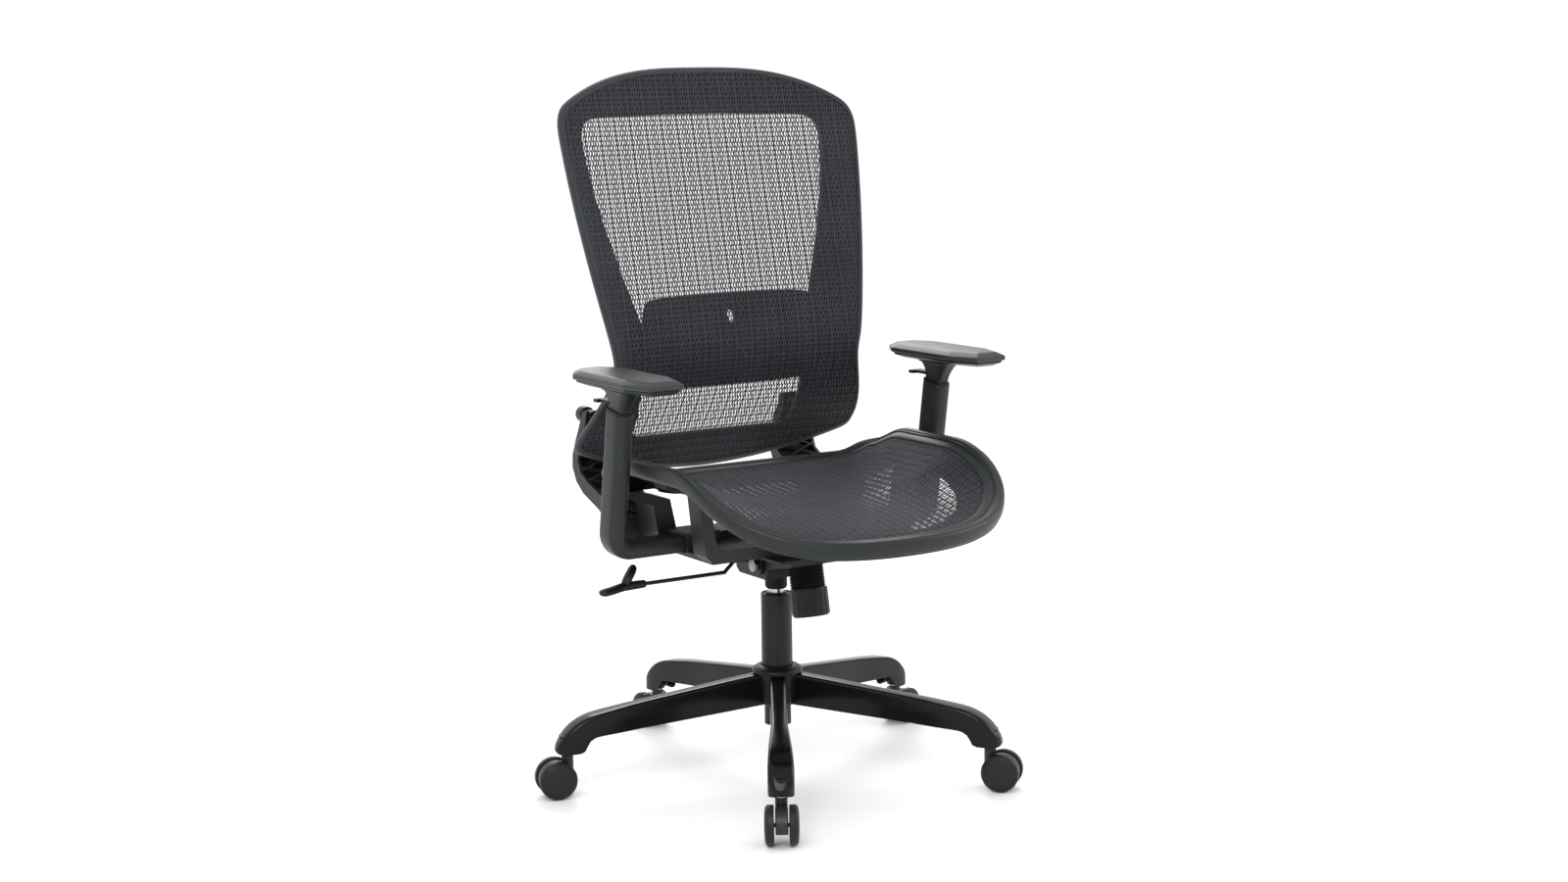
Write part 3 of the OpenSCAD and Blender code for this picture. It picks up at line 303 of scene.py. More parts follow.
def add_base():
    parts = [turned(p, i) for i in range(LEGS) for p in (leg_part(), socket_part())]
    bore = 25.02
    hub = [(21.6, 118), (29, 117), (31.5, 119), (33, 124), (34.5, 140), (36, 158), (37, 166), (36, 169.4),
           (bore, HUB_TOP)]
    parts.append(revolve(hub, 72))
    build("base_shell", *join_parts(parts), body="base", slot="gloss_black", replaces=["base_star"], smooth=38)
    build("hub_ring", *revolve([(bore, 170.2), (40, 170.2), (41, 171), (41, 173), (39, 175.5), (34, 179), (28.5, 181),
                                (26.5, 180.6), (bore, 179)], 72), body="base", slot="black_plastic",
          replaces=["hub_collar"])


add_base()


# ---------- casters ----------

WHEEL_R = 30.0
HUB_GAP = 11.0


def wheel_part(side):
    """One wheel about the X axis: disc with a chamfered rim, a shallow groove and a domed cap."""
    r = WHEEL_R
    profile = [(3.05, 0), (9, 0), (9, 3), (r - 6, 3), (r - 5, 0.3), (r - 1.2, 0.3), (r, 1.5), (r, 9.5), (r - 0.6, 11),
               (r - 3.2, 13.2), (r - 4.2, 13.7), (r - 4.8, 13.2), (r - 5.4, 13.7), (r - 9, 14.4), (12, 14.9), (0.2, 15),
               (0.2, 11.05), (3.05, 11.05)]
    return revolve([(p, HUB_GAP + h) for p, h in profile], 72, (0, 0, 0), (side, 0, 0))


def hood_part():
    """Fender between the wheels: covers their top and back and carries the stem's tube."""
    half, outer, inner, soft = 9.4, WHEEL_R - 2.6, WHEEL_R - 7.6, 1.6
    section = ((-half, inner), (-half, outer - soft), (-half + soft, outer), (half - soft, outer), (half, outer - soft),
               (half, inner))
    rings = []
    for a in np.radians(np.linspace(-14, 194, 30)):
        c, s = math.cos(a), math.sin(a)
        rings.append([(x, r * c, WHEEL_R + r * s) for x, r in section])
    return loft(rings, caps=True)


def add_casters():
    for i in range(LEGS):
        turn = leg_frame(i)
        ahead = turn @ Vector((STEM_REACH + TRAIL, 0, 0))
        local = turn @ Matrix.Rotation(math.radians(90), 3, "Z")

        def placed(part, shift=(0, 0, 0)):
            points, faces = part
            return [ahead + local @ (Vector(p) + Vector(shift)) for p in points], faces

        axle = revolve([(0, -21.9), (3, -21.9), (3, 21.9), (0, 21.9)], 24, (0, 0, 0), (1, 0, 0))
        wheels = [wheel_part(1), wheel_part(-1), axle]
        build(f"wheels_{i + 1}", *join_parts([placed(p, (0, 0, WHEEL_R)) for p in wheels]), body=f"wheels_{i + 1}",
              slot="caster_black", replaces=[f"caster_wheels_{i + 1}"], smooth=32)
        web = box_part((-2.2, -WHEEL_R + 6, 25), (2.2, WHEEL_R - 6, 52))
        stem_tube = revolve([(5.56, 34.5), (8.6, 34.5), (9.4, 36), (9.4, 66), (8.4, 67), (5.56, 67)], 32, (0, TRAIL, 0))
        hub = revolve([(3.06, -9.4), (6.5, -9.4), (6.5, 9.4), (3.06, 9.4)], 32, (0, 0, WHEEL_R), (1, 0, 0))
        build(f"hood_{i + 1}", *join_parts([placed(p) for p in (hood_part(), hub, stem_tube)]), body=f"caster_{i + 1}",
              slot="caster_grey", replaces=[f"caster_hood_{i + 1}"], smooth=35)
        fins = [box_part((-2, -WHEEL_R + 7.5, WHEEL_R + 4), (2, TRAIL - 10.2, WHEEL_R + 9)),
                box_part((-2, -5.5, WHEEL_R + 6.6), (2, 5.5, WHEEL_R + 22.5))]
        build(f"hood_rib_{i + 1}", *join_parts([placed(p) for p in fins]), body=f"caster_{i + 1}",
              slot="caster_grey", bevel=0.5)


add_casters()


# ---------- seat ----------

rim_low, rim_high = box_mm("seat_rim")
SEAT_HALF, SEAT_REAR, SEAT_FRONT = rim_high[0], rim_high[1], -rim_low[1]
RAIL_Z, FRONT_Z, REAR_Z = 541.0, 447.0, 497.0
RIM_WIDTH, RIM_DEPTH, RIM_CORNER, RIM_FRONT_Y = 20.0, 28.0, 40.0, -190.0
SEAT_MID_Y = (SEAT_REAR - SEAT_FRONT) / 2
MESH_MIDDLE = 468.0
EDGE_GROW = -RIM_WIDTH - 0.3


def rim_top(x, y):
    """Height of the rim's top edge."""
    front = FRONT_Z + (RAIL_Z - FRONT_Z) * smoothstep((y + SEAT_FRONT + 4) / (SEAT_FRONT - 128))
    drop = (RAIL_Z - REAR_Z) * 0.6 * smoothstep(y / (SEAT_REAR - 15))
    corner = (RAIL_Z - REAR_Z) * 0.4 * smoothstep((SEAT_HALF - 6 - abs(x)) / 70) * smoothstep((y - 60) / 40)
    return front - drop - corner


def rim_path(grow, fine=4):
    """Outline of the rim in plan, grown outward by grow."""
    half, reach = SEAT_HALF + grow, SEAT_FRONT + RIM_FRONT_Y + grow
    cx, cy, r = SEAT_HALF - RIM_CORNER, SEAT_REAR - RIM_CORNER, RIM_CORNER + grow
    out = [(cx * t, SEAT_REAR + grow) for t in np.linspace(0, 1, 5 * fine, endpoint=False)]
    out += [(cx + r * math.sin(a), cy + r * math.cos(a)) for a in np.linspace(0, math.pi / 2, 5 * fine, endpoint=False)]
    out += [(half, cy + (RIM_FRONT_Y - cy) * t) for t in np.linspace(0, 1, 7 * fine, endpoint=False)]
    out += [(half * math.cos(a) ** 0.93, RIM_FRONT_Y - reach * math.sin(a) ** 0.93)
            for a in np.linspace(0, math.pi / 2, 14 * fine, endpoint=False)]
    out.append((0.0, RIM_FRONT_Y - reach))
    return out + [(-x, y) for x, y in out[-2:0:-1]]


def add_seat_rim():
    """Moulded ring: a rounded outer face, a step where the mesh tucks in and a hollowed underside."""
    section = [(1.0, -0.30), (0.96, -0.16), (0.82, -0.05), (0.55, 0.0), (0.0, 0.0), (-0.35, -0.01), (-0.55, -0.05),
               (-0.6, -0.1), (-0.95, -0.13), (-1.0, -0.2), (-0.98, -0.32), (-0.7, -0.6), (-0.3, -0.92), (0.1, -1.0),
               (0.5, -0.92), (0.85, -0.68), (0.98, -0.45)]
    paths = [rim_path((a - 1) * RIM_WIDTH / 2) for a, _ in section]
    rings = []
    for k, (x, y) in enumerate(rim_path(-RIM_WIDTH / 2)):
        z = float(rim_top(x, y))
        rings.append([(*path[k], z + drop * RIM_DEPTH) for path, (_, drop) in zip(paths, section)])
    build("seat_ring", *loft(rings[::-1], loop=True), body="seat_unit", slot="dark_plastic", replaces=["seat_rim"],
          smooth=50)


add_seat_rim()


PITCH, PERIOD = 4.9, 15.0
YARN_WIDTH, YARN_THICK, SWAY = 3.1, 1.9, 1.5
LINK_WIDTH, LINK_THICK = 0.8, 0.7


def strands(places, ahead, half, thick, keep):
    """Closed yarns: places is an array of (yarn, node, 3) points on a surface and ahead its unit normals.

    half is half a yarn's width at each node, thick its thickness, and keep says which nodes lie on the cloth.
    """
    n, m = places.shape[:2]
    along = np.gradient(places, axis=1)
    along /= np.linalg.norm(along, axis=2, keepdims=True)
    side = np.cross(along, ahead) * half[..., None]
    lift = ahead * thick / 2
    rows = np.stack([places - side, places - side * 0.45 + lift, places + side * 0.45 + lift, places + side,
                     places - lift], axis=2)
    count = rows.shape[2]
    index = np.arange(n * m * count).reshape(n, m, count)
    both = keep[:, :-1] & keep[:, 1:]
    a, b = index[:, :-1][both], index[:, 1:][both]
    faces = np.concatenate([np.stack([a[:, k], a[:, k - 1], b[:, k - 1], b[:, k]], axis=1) for k in range(count)])
    gap = np.zeros((n, 1), bool)
    first, last = both & ~np.hstack([gap, both[:, :-1]]), both & ~np.hstack([both[:, 1:], gap])
    caps = np.concatenate([index[:, :-1][first], index[:, 1:][last][:, ::-1]])
    return rows.reshape(-1, 3), faces, caps


def warp(lines, nodes):
    """Sideways places and half widths of the yarns' nodes: all sway together and every third gap is wider."""
    order = np.arange(lines) - (lines - 1) / 2
    place = order * PITCH + 0.35 * (np.arange(lines) % 3 - 1)
    step = np.array([1, 1, -1, -1])[np.arange(nodes) % 4]
    swell = 1 + 0.16 * np.where((np.arange(nodes)[None, :] // 2 + np.arange(lines)[:, None]) % 2, -1, 1)
    return place[:, None] + SWAY * step[None, :], swell * YARN_WIDTH / 2


def node_places(start, stop):
    """Places of the nodes along a yarn: a short straight at each side of its sway, then a slant."""
    count = int((stop - start) / PERIOD) * 4
    lengths = np.where(np.arange(count) % 2, 0.32, 0.18) * PERIOD
    return start + np.cumsum(lengths)


def cloth(name, parts, body, replaces):
    """Fast path of build() for the many small faces of a net."""
    start, points, faces = 0, [], []
    for p, sides, caps in parts:
        used = np.unique(sides)
        number = np.zeros(len(p), int)
        number[used] = np.arange(len(used)) + start
        points.append(p[used])
        faces += number[sides].tolist() + number[caps].tolist()
        start += len(used)
    data = bpy.data.meshes.new(name)
    data.from_pydata((np.concatenate(points) * MM).tolist(), [], faces)
    piece = bpy.data.objects.new(name, data)
    bpy.context.scene.collection.objects.link(piece)
    data.materials.append(MATS["mesh_fabric"])
    data.shade_smooth()
    data.set_sharp_from_angle(angle=math.radians(70))
    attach(piece, body)
    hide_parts(replaces)
    return piece


def net(name, a_range, b_range, surface, inside, body, replaces):
    """Open weave on a surface: yarns along b with thin links across them.

    surface(a, b) gives points and unit normals, inside(a, b) says what lies on the cloth.
    """
    lines = int((a_range[1] - a_range[0]) / PITCH) + 1
    along = node_places(*b_range)
    a, half = warp(lines, len(along))
    a = a + (a_range[0] + a_range[1]) / 2
    b = np.broadcast_to(along, a.shape)
    places, ahead = surface(a, b)
    parts = [strands(places, ahead, half, YARN_THICK, inside(a, b))]
    rows = along[1::2]
    across = np.arange(a_range[0], a_range[1], 2 * PITCH)
    a = np.broadcast_to(across, (len(rows), len(across)))
    b = np.broadcast_to(rows[:, None], a.shape)
    places, ahead = surface(a, b)
    parts.append(strands(places, ahead, np.full(a.shape, LINK_WIDTH / 2), LINK_THICK, inside(a, b)))
    return cloth(name, parts, body, replaces)


def flat_area(a_range, b_range, surface, inside, step=4.0):
    """Area in square metres of the cloth's outline, measured on its surface with the openings counted in."""
    a, b = np.meshgrid(np.arange(*a_range, step), np.arange(*b_range, step))
    across = surface(a + 1, b)[0] - surface(a - 1, b)[0]
    up = surface(a, b + 1)[0] - surface(a, b - 1)[0]
    cell = np.linalg.norm(np.cross(across, up), axis=-1) / 4 * step * step
    return float((cell * inside(a, b)).sum()) * MM * MM


def seat_surface(x, y):
    """Height of the seat mesh and how far out a place lies (1 at the rim)."""
    edge = np.array(rim_path(EDGE_GROW))
    angle = np.arctan2(edge[:, 1] - SEAT_MID_Y, edge[:, 0])
    order = np.argsort(angle)
    reach = np.hypot(edge[:, 0], edge[:, 1] - SEAT_MID_Y)[order]
    level = rim_top(edge[:, 0], edge[:, 1])[order]
    here = np.arctan2(y - SEAT_MID_Y, x)
    out = np.hypot(x, y - SEAT_MID_Y) / np.interp(here, angle[order], reach, period=2 * math.pi)
    top = np.interp(here, angle[order], level, period=2 * math.pi) - 0.26 * RIM_DEPTH
    return MESH_MIDDLE + (top - MESH_MIDDLE) * np.clip(out, 0, 1) ** 2.2, out


def surface_normals(f, x, y, sign):
    """Unit normals of z = f(x, y), pointing up for sign 1."""
    d = 1.0
    zx = (f(x + d, y) - f(x - d, y)) / (2 * d)
    zy = (f(x, y + d) - f(x, y - d)) / (2 * d)
    n = np.stack([-zx, -zy, np.ones_like(zx)], axis=-1) * sign
    return n / np.linalg.norm(n, axis=-1, keepdims=True)


def seat_place(y, x):
    z, _ = seat_surface(x, y)
    ahead = surface_normals(lambda a, b: seat_surface(a, b)[0], x, y, 1)
    return np.stack([x, y, z - 1.3], axis=-1), ahead


def on_seat(y, x):
    return seat_surface(x, y)[1] < 0.992


def add_band(name, paths, lifts, slot):
    """Closed ring along the seat's edge: paths are its lines in plan, lifts their heights over the net."""
    rings = []
    for k in range(len(paths[0])):
        places = [path[k] for path in paths]
        rings.append([(x, y, float(seat_surface(np.array(x), np.array(y))[0]) + lift)
                      for (x, y), lift in zip(places, lifts)])
    build(name, *loft(rings[::-1], loop=True), body="seat_unit", slot=slot, smooth=60)


def add_seat_edge():
    """Inner lip of the rim: it overlaps the net's edge from above and closes under it."""
    section = [(0.8, 2.2), (-1.5, 2.6), (-6, 2.9), (-10, 2.5), (-12.2, 1.6), (-13, 0.2), (-12.6, -1.6), (-10, -3.2),
               (0.8, -4.4)]
    paths = [rim_path(grow - RIM_WIDTH) for grow, _ in section]
    add_band("seat_lip", paths, [lift - 0.9 for _, lift in section], "dark_plastic")


def add_seat_flange():
    """Broad shelf of the seat's frame a little under the net, with a turned-down inner edge."""
    section = [(0.6, -7.0), (-10, -5.5), (-30, -6.5), (-44, -8.5), (-48, -10.5), (-49.5, -14.5), (-47.5, -14.5),
               (-46, -12.0), (-42, -11.0), (-30, -9.2), (-10, -8.4), (0.6, -10.5)]
    paths = [rim_path(grow - RIM_WIDTH) if grow > -20 else shrunk_path(grow - RIM_WIDTH) for grow, _ in section]
    add_band("seat_shelf", paths, [lift for _, lift in section], "black_plastic")


def shrunk_path(grow):
    """The rim's outline drawn in by far more than its corner radius, with no folds."""
    kx, ky = 1 + grow / SEAT_HALF, 1 + grow / ((SEAT_REAR + SEAT_FRONT) / 2)
    return [(x * kx, SEAT_MID_Y + (y - SEAT_MID_Y) * ky) for x, y in rim_path(0)]


def add_seat_mesh():
    depth, width = (-SEAT_FRONT + 8, SEAT_REAR - 8), (-SEAT_HALF + RIM_WIDTH, SEAT_HALF)
    piece = net("seat_net", depth, width, seat_place, on_seat, "seat_unit", "seat_mesh")
    area = flat_area(depth, width, seat_place, on_seat)


add_seat_edge()
add_seat_flange()
add_seat_mesh()


# ---------- back ----------

frame_low, frame_high = box_mm("back_frame")
BACK_LOW, BACK_TOP = frame_low[2], frame_high[2]
WAIST_Z, WAIST_Y = 670.0, 94.0
BACK_WIDTH, WAIST_WIDTH, LOWER_WIDTH = 552.0, 452.0, 526.0
BOW, DISH, FRAME_THICK = 22.0, 33.0, 14.0


def back_y(z):
    up, down = np.maximum(z - WAIST_Z - 20, 0), np.clip(WAIST_Z + 20 - z, 0, 150)
    return WAIST_Y + 0.2456 * up * up / (up + 30) + 0.00336 * down * down + 0.7 * np.maximum(0, WAIST_Z - 130 - z)


def back_half(z):
    u = np.clip(1 - (z - WAIST_Z) / (BACK_TOP - 71 - WAIST_Z), 0, 1)
    upper = (WAIST_WIDTH + (BACK_WIDTH - WAIST_WIDTH) * (1 - u ** 1.6)) / 2
    lower = (WAIST_WIDTH + (LOWER_WIDTH - WAIST_WIDTH) * smoothstep((WAIST_Z - z) / 140)) / 2
    return np.where(z > WAIST_Z, upper, lower)


def back_bottom(u):
    return BACK_LOW + 54 * u * u


def back_roof(u):
    return BACK_TOP - 58 * np.abs(u) ** 3


def mesh_y(x, z):
    """Front surface of the back's mesh."""
    return back_y(z) + BOW * (1 - np.clip(x / back_half(z), -1, 1) ** 2)


def frame_y(x, z):
    """Front surface of the frame, dished behind the mesh."""
    u = np.clip(x / back_half(z), -1, 1)
    v = np.clip((z - back_bottom(u)) / (back_roof(u) - back_bottom(u)), 0, 1)
    deep = 0.42 + 0.58 * smoothstep((BACK_LOW + (BACK_TOP - BACK_LOW) * v - 520) / 110)
    return mesh_y(x, z) + DISH * deep * (1 - np.abs(u) ** 6) * (1 - np.abs(2 * v - 1) ** 14)


def window_half(z):
    return back_half(z) - 86 + 36 * smoothstep((z - 640) / 360) - 20 * smoothstep((620 - z) / 60)


def outline_of_back():
    edge = float(back_half(BACK_TOP - 58)) * 0.955
    foot = float(back_half(BACK_LOW + 54))
    right = []
    for v in np.linspace(0, 1, 60):
        z = BACK_LOW + 54 + (BACK_TOP - 58 - BACK_LOW - 54) * v
        right.append((float(back_half(z)) * (1 - 0.045 * max(0, (v - 0.94) / 0.06) ** 2), z))
    top = [(u * edge, float(back_roof(u))) for u in np.linspace(1, -1, 41)[1:-1]]
    bottom = [(u * foot, float(back_bottom(u))) for u in np.linspace(-1, 1, 41)[1:-1]]
    return right + top + [(-x, z) for x, z in right[::-1]] + bottom


def outline_of_window():
    foot, roof = BACK_LOW + 64, BACK_TOP - 74
    right = [(float(window_half(z)), z) for z in np.linspace(foot + 18, roof - 34, 26)]
    wide, low = right[-1][0], right[0][0]
    crown = [(wide - 30 + 30 * math.cos(a), roof - 30 + 26 * math.sin(a)) for a in np.radians([15, 30, 45, 60, 75, 90])]
    crown += [(120, roof - 2), (60, roof)]
    heel = [(60, foot), (low - 40, foot + 1)]
    heel += [(low - 16 + 16 * math.cos(a), foot + 15 + 14 * math.sin(a)) for a in np.radians([-90, -60, -30])]
    half = heel + right + crown
    return half + [(-x, z) for x, z in half[::-1]]


CENTRE_Z = 800.0
SPOKES = 480


def polar(path, soften=0):
    """Resamples a closed outline at even angles about the middle of the back, softened over some samples."""
    dense = [np.array(a) + (np.array(b) - np.array(a)) * t for a, b in zip(path, path[1:] + path[:1])
             for t in np.arange(0, 1, 1 / max(1, math.dist(a, b) // 2))]
    p = np.array(dense)
    angle, reach = np.arctan2(p[:, 1] - CENTRE_Z, p[:, 0]), np.hypot(p[:, 0], p[:, 1] - CENTRE_Z)
    order = np.argsort(angle)
    at = np.linspace(-math.pi, math.pi, SPOKES, endpoint=False)
    r = np.interp(at, angle[order], reach[order], period=2 * math.pi)
    out = np.stack([r * np.cos(at), CENTRE_Z + r * np.sin(at)], axis=1)
    for _ in range(soften):
        out = (np.roll(out, 1, 0) + 2 * out + np.roll(out, -1, 0)) / 4
    return out


OUTER = polar(outline_of_back(), 6)
WINDOW = polar(outline_of_window(), 2)


def add_back_frame():
    """Dished frame: its outer edge meets the mesh and its inner lip is turned back round the window."""
    share = [0.0, 0.05, 0.12, 0.25, 0.45, 0.65, 0.82, 0.93, 0.985, 1.0]
    rings = []
    for (ox, oz), (wx, wz) in zip(OUTER, WINDOW):
        front, rear = [], []
        for t in share:
            x, z = ox + (wx - ox) * t, oz + (wz - oz) * t
            y = float(frame_y(x * 0.995, z))
            thick = FRAME_THICK * (0.55 + 0.45 * math.sin(math.pi * min(max(t, 0.08), 0.92)) ** 0.5)
            ease = 2.0 * (t in (0.0, 1.0))
            front.append((x, y + 0.4 + ease, z))
            rear.append((x, y + thick - ease, z))
        rings.append(front + rear[::-1])
    build("back_shell", *loft(rings, loop=True), body="seat_unit", slot="black_plastic", replaces=["back_frame"],
          smooth=50)


def add_back_wrap():
    """The mesh's hem, drawn round the frame's outer edge."""
    section = [(7, -3.4), (3, -3.4), (0.4, -2.4), (-1.6, 1.0), (-2.2, 5.5), (-1.8, 10.0), (0.6, 14.0), (5, 15.6),
               (5, 14.4), (1.0, 12.4), (-0.7, 9.0), (-0.9, 5.0), (-0.6, 1.6), (0.8, -1.6), (3, -2.6), (7, -2.6)]
    rings = []
    for ox, oz in OUTER:
        inward = np.array([-ox, CENTRE_Z - oz]) / math.hypot(ox, oz - CENTRE_Z)

        def at(depth, shift):
            x, z = ox + inward[0] * depth, oz + inward[1] * depth
            return (x, float(mesh_y(x * 0.999, z)) + shift, z)
        rings.append([at(*place) for place in section])
    return build("back_hem", *loft(rings, loop=True), body="seat_unit", slot="mesh_fabric", smooth=60)


def back_place(x, z):
    n = surface_normals(mesh_y, x, z, 1)
    return np.stack([x, mesh_y(x, z) - 1.5, z], axis=-1), -n[..., [0, 2, 1]]


def on_back(x, z):
    edge = np.hypot(OUTER[:, 0], OUTER[:, 1] - CENTRE_Z)
    limit = np.interp(np.arctan2(z - CENTRE_Z, x), np.linspace(-math.pi, math.pi, SPOKES, endpoint=False), edge,
                      period=2 * math.pi)
    return np.hypot(x, z - CENTRE_Z) < limit - 3


def add_back_mesh(hem):
    width, height = (-BACK_WIDTH / 2, BACK_WIDTH / 2), (BACK_LOW - 4, BACK_TOP + 4)
    piece = net("back_net", width, height, back_place, on_back, "seat_unit", "back_mesh")
    area = flat_area(width, height, back_place, on_back)


add_back_frame()
add_back_mesh(add_back_wrap())


LUMBAR_Z, LUMBAR_HEIGHT, LUMBAR_THICK = 695.0, 152.0, 7.0


def lumbar_y(x, z):
    e = x / back_half(z)
    return back_y(z) + BOW * (1 - e * e) + 3.5 + 3 * e * e + 7 * ((z - LUMBAR_Z) / LUMBAR_HEIGHT * 2) ** 2


def add_lumbar_pad():
    """Curved plate with rounded ends, a slot in the middle and a raised rib along its upper and lower edges."""
    half = LUMBAR_HEIGHT / 2
    low = [(150 * t, -half + 4 * abs(t) ** 3) for t in np.linspace(-1, 1, 15)]
    right = [(164, -half + 8), (172, -half + 22), (174, 0), (168, half - 40), (160, half - 16), (150, half - 6)]
    top = [(140 * t, half - 4 * abs(t) ** 3) for t in np.linspace(1, -1, 15)]
    left = [(-x, z) for x, z in right[::-1]]
    path = round_corners(low + right + top + left, 1)
    hole = [(6 * math.cos(a), 38 + 10 * math.sin(a)) for a in np.linspace(-math.pi, math.pi, len(path), endpoint=False)]
    path_angle = [math.atan2(z, x) for x, z in path]
    path = [p for _, p in sorted(zip(path_angle, path))]
    shares = [0, 0.01, 0.04, 0.1, 0.3, 0.6, 0.9, 1.0]
    rings = []
    for (ox, oz), (hx, hz) in zip(path, hole):
        front, rear = [], []
        for t in shares:
            x, z = ox + (hx - ox) * t, oz + (hz - oz) * t
            y = float(lumbar_y(x, z + LUMBAR_Z))
            ease = {0: 2.4, 0.01: 0.8}.get(t, 0.0)
            front.append((x, y + ease, z + LUMBAR_Z))
            rear.append((x, y + LUMBAR_THICK - ease - 2.5 * (t > 0.06), z + LUMBAR_Z))
        rings.append(front + rear[::-1])
    build("lumbar_plate", *loft(rings, loop=True), body="lumbar", slot="black_plastic", replaces=["lumbar_pad"],
          smooth=45)


add_lumbar_pad()


# ---------- arms ----------

ARM_X = 294.0
pad_low, pad_high = box_mm("arm_pad_right")
PAD_LENGTH, PAD_WIDTH = pad_high[1] - pad_low[1], pad_high[0] - pad_low[0]
PAD_MID_Y = (pad_high[1] + pad_low[1]) / 2


def pad_path(inset):
    """Eight-sided outline with softly broken corners, the same number of points whatever the inset.

    Past the bevel it shrinks towards the middle line, so that its short sides don't fold over.
    """
    if inset > 10:
        share = 1 - (inset - 10) / (PAD_WIDTH / 2 - 10)
        return [(x * share, y + (share - 1) * 30 * math.copysign(min(1, abs(y) / 60), y)) for x, y in pad_path(10)]
    y, x = PAD_LENGTH / 2 - inset, PAD_WIDTH / 2 - inset
    corners = [(x - 17, -y), (x, -y + 52), (x, y - 34), (x - 20, y), (-x + 20, y), (-x, y - 34), (-x, -y + 52),
               (-x + 17, -y)]
    path = []
    for before, here, after in zip(corners[-1:] + corners[:-1], corners, corners[1:] + corners[:1]):
        here = Vector(here)
        for other, share in ((before, 2.0), (before, 0.7), (after, 0.7), (after, 2.0)):
            path.append(tuple(here + (Vector(other) - here).normalized() * share))
    return path


def add_arm_pads():
    """Moulded soft pads: a broad bevel round a nearly flat top, a straight side and a seam above the base plate."""
    layers = [(0, 9), (0, 2.2), (0.5, 1.2), (1.0, 0.5), (1.6, 0.1), (2.4, 0.0), (7.0, 0.0), (7.5, 0.2), (7.9, 0.7),
              (13.0, 9.0), (13.5, 10.2), (13.8, 11.8), (14.3, 17.0), (14.8, 26.0), (15.0, 36.0)]
    base = pad_low[2]
    for side, name in ((-1, "left"), (1, "right")):
        rings = [[(side * ARM_X + x, PAD_MID_Y + y, base + z) for x, y in pad_path(inset)] for z, inset in layers]
        piece = build(f"arm_cushion_{name}", *loft(rings), body=f"arm_rest_{name}", slot="pad_soft",
                      replaces=[f"arm_pad_{name}"], smooth=15)


def add_arm_plates():
    """Hard base under each pad, tapering in towards its lower face."""
    low, high = (box_mm("arm_plate_right")[k][2] for k in (0, 1))
    layers = [(low, 26), (low, 16.5), (low + 0.5, 15), (low + 4.6, 5.4), (low + 5.2, 4.4), (high - 1.4, 3.8),
              (high, 4.2), (high, 26)]
    for side, name in ((-1, "left"), (1, "right")):
        rings = [[(side * ARM_X + x, PAD_MID_Y + y, z) for x, y in pad_path(inset)] for z, inset in layers]
        build(f"arm_base_{name}", *loft(rings, caps=False), body=f"arm_turner_{name}", slot="dark_plastic",
              replaces=[f"arm_plate_{name}"], smooth=24)


add_arm_pads()
add_arm_plates()

ELBOW_Y, ELBOW_Z, LEAN = 2.0, 405.0, math.radians(9.5)
POST_WIDTH, POST_LENGTH, POST_RISE = 30.0, 50.0, 216.0
BAR_LOW, BAR_HIGH, BAR_END = 386.0, 412.0, 130.0
ARM_FORE, ARM_RISE = Vector((0, math.cos(LEAN), math.sin(LEAN))), Vector((0, -math.sin(LEAN), math.cos(LEAN)))
NECK_TOP = 656.0
TRIGGER_Y, TRIGGER_Z = -18.0, 632.0


def oblong(half_x, half_y, r, steps=7):
    """Rounded rectangle as a list of offsets."""
    r = min(r, half_x, half_y)
    out = []
    for k, (cx, cy) in enumerate(((half_x - r, half_y - r), (-half_x + r, half_y - r), (-half_x + r, -half_y + r),
                                  (half_x - r, -half_y + r))):
        for a in np.linspace(k * math.pi / 2, (k + 1) * math.pi / 2, steps):
            out.append((cx + r * math.cos(a), cy + r * math.sin(a)))
    return out


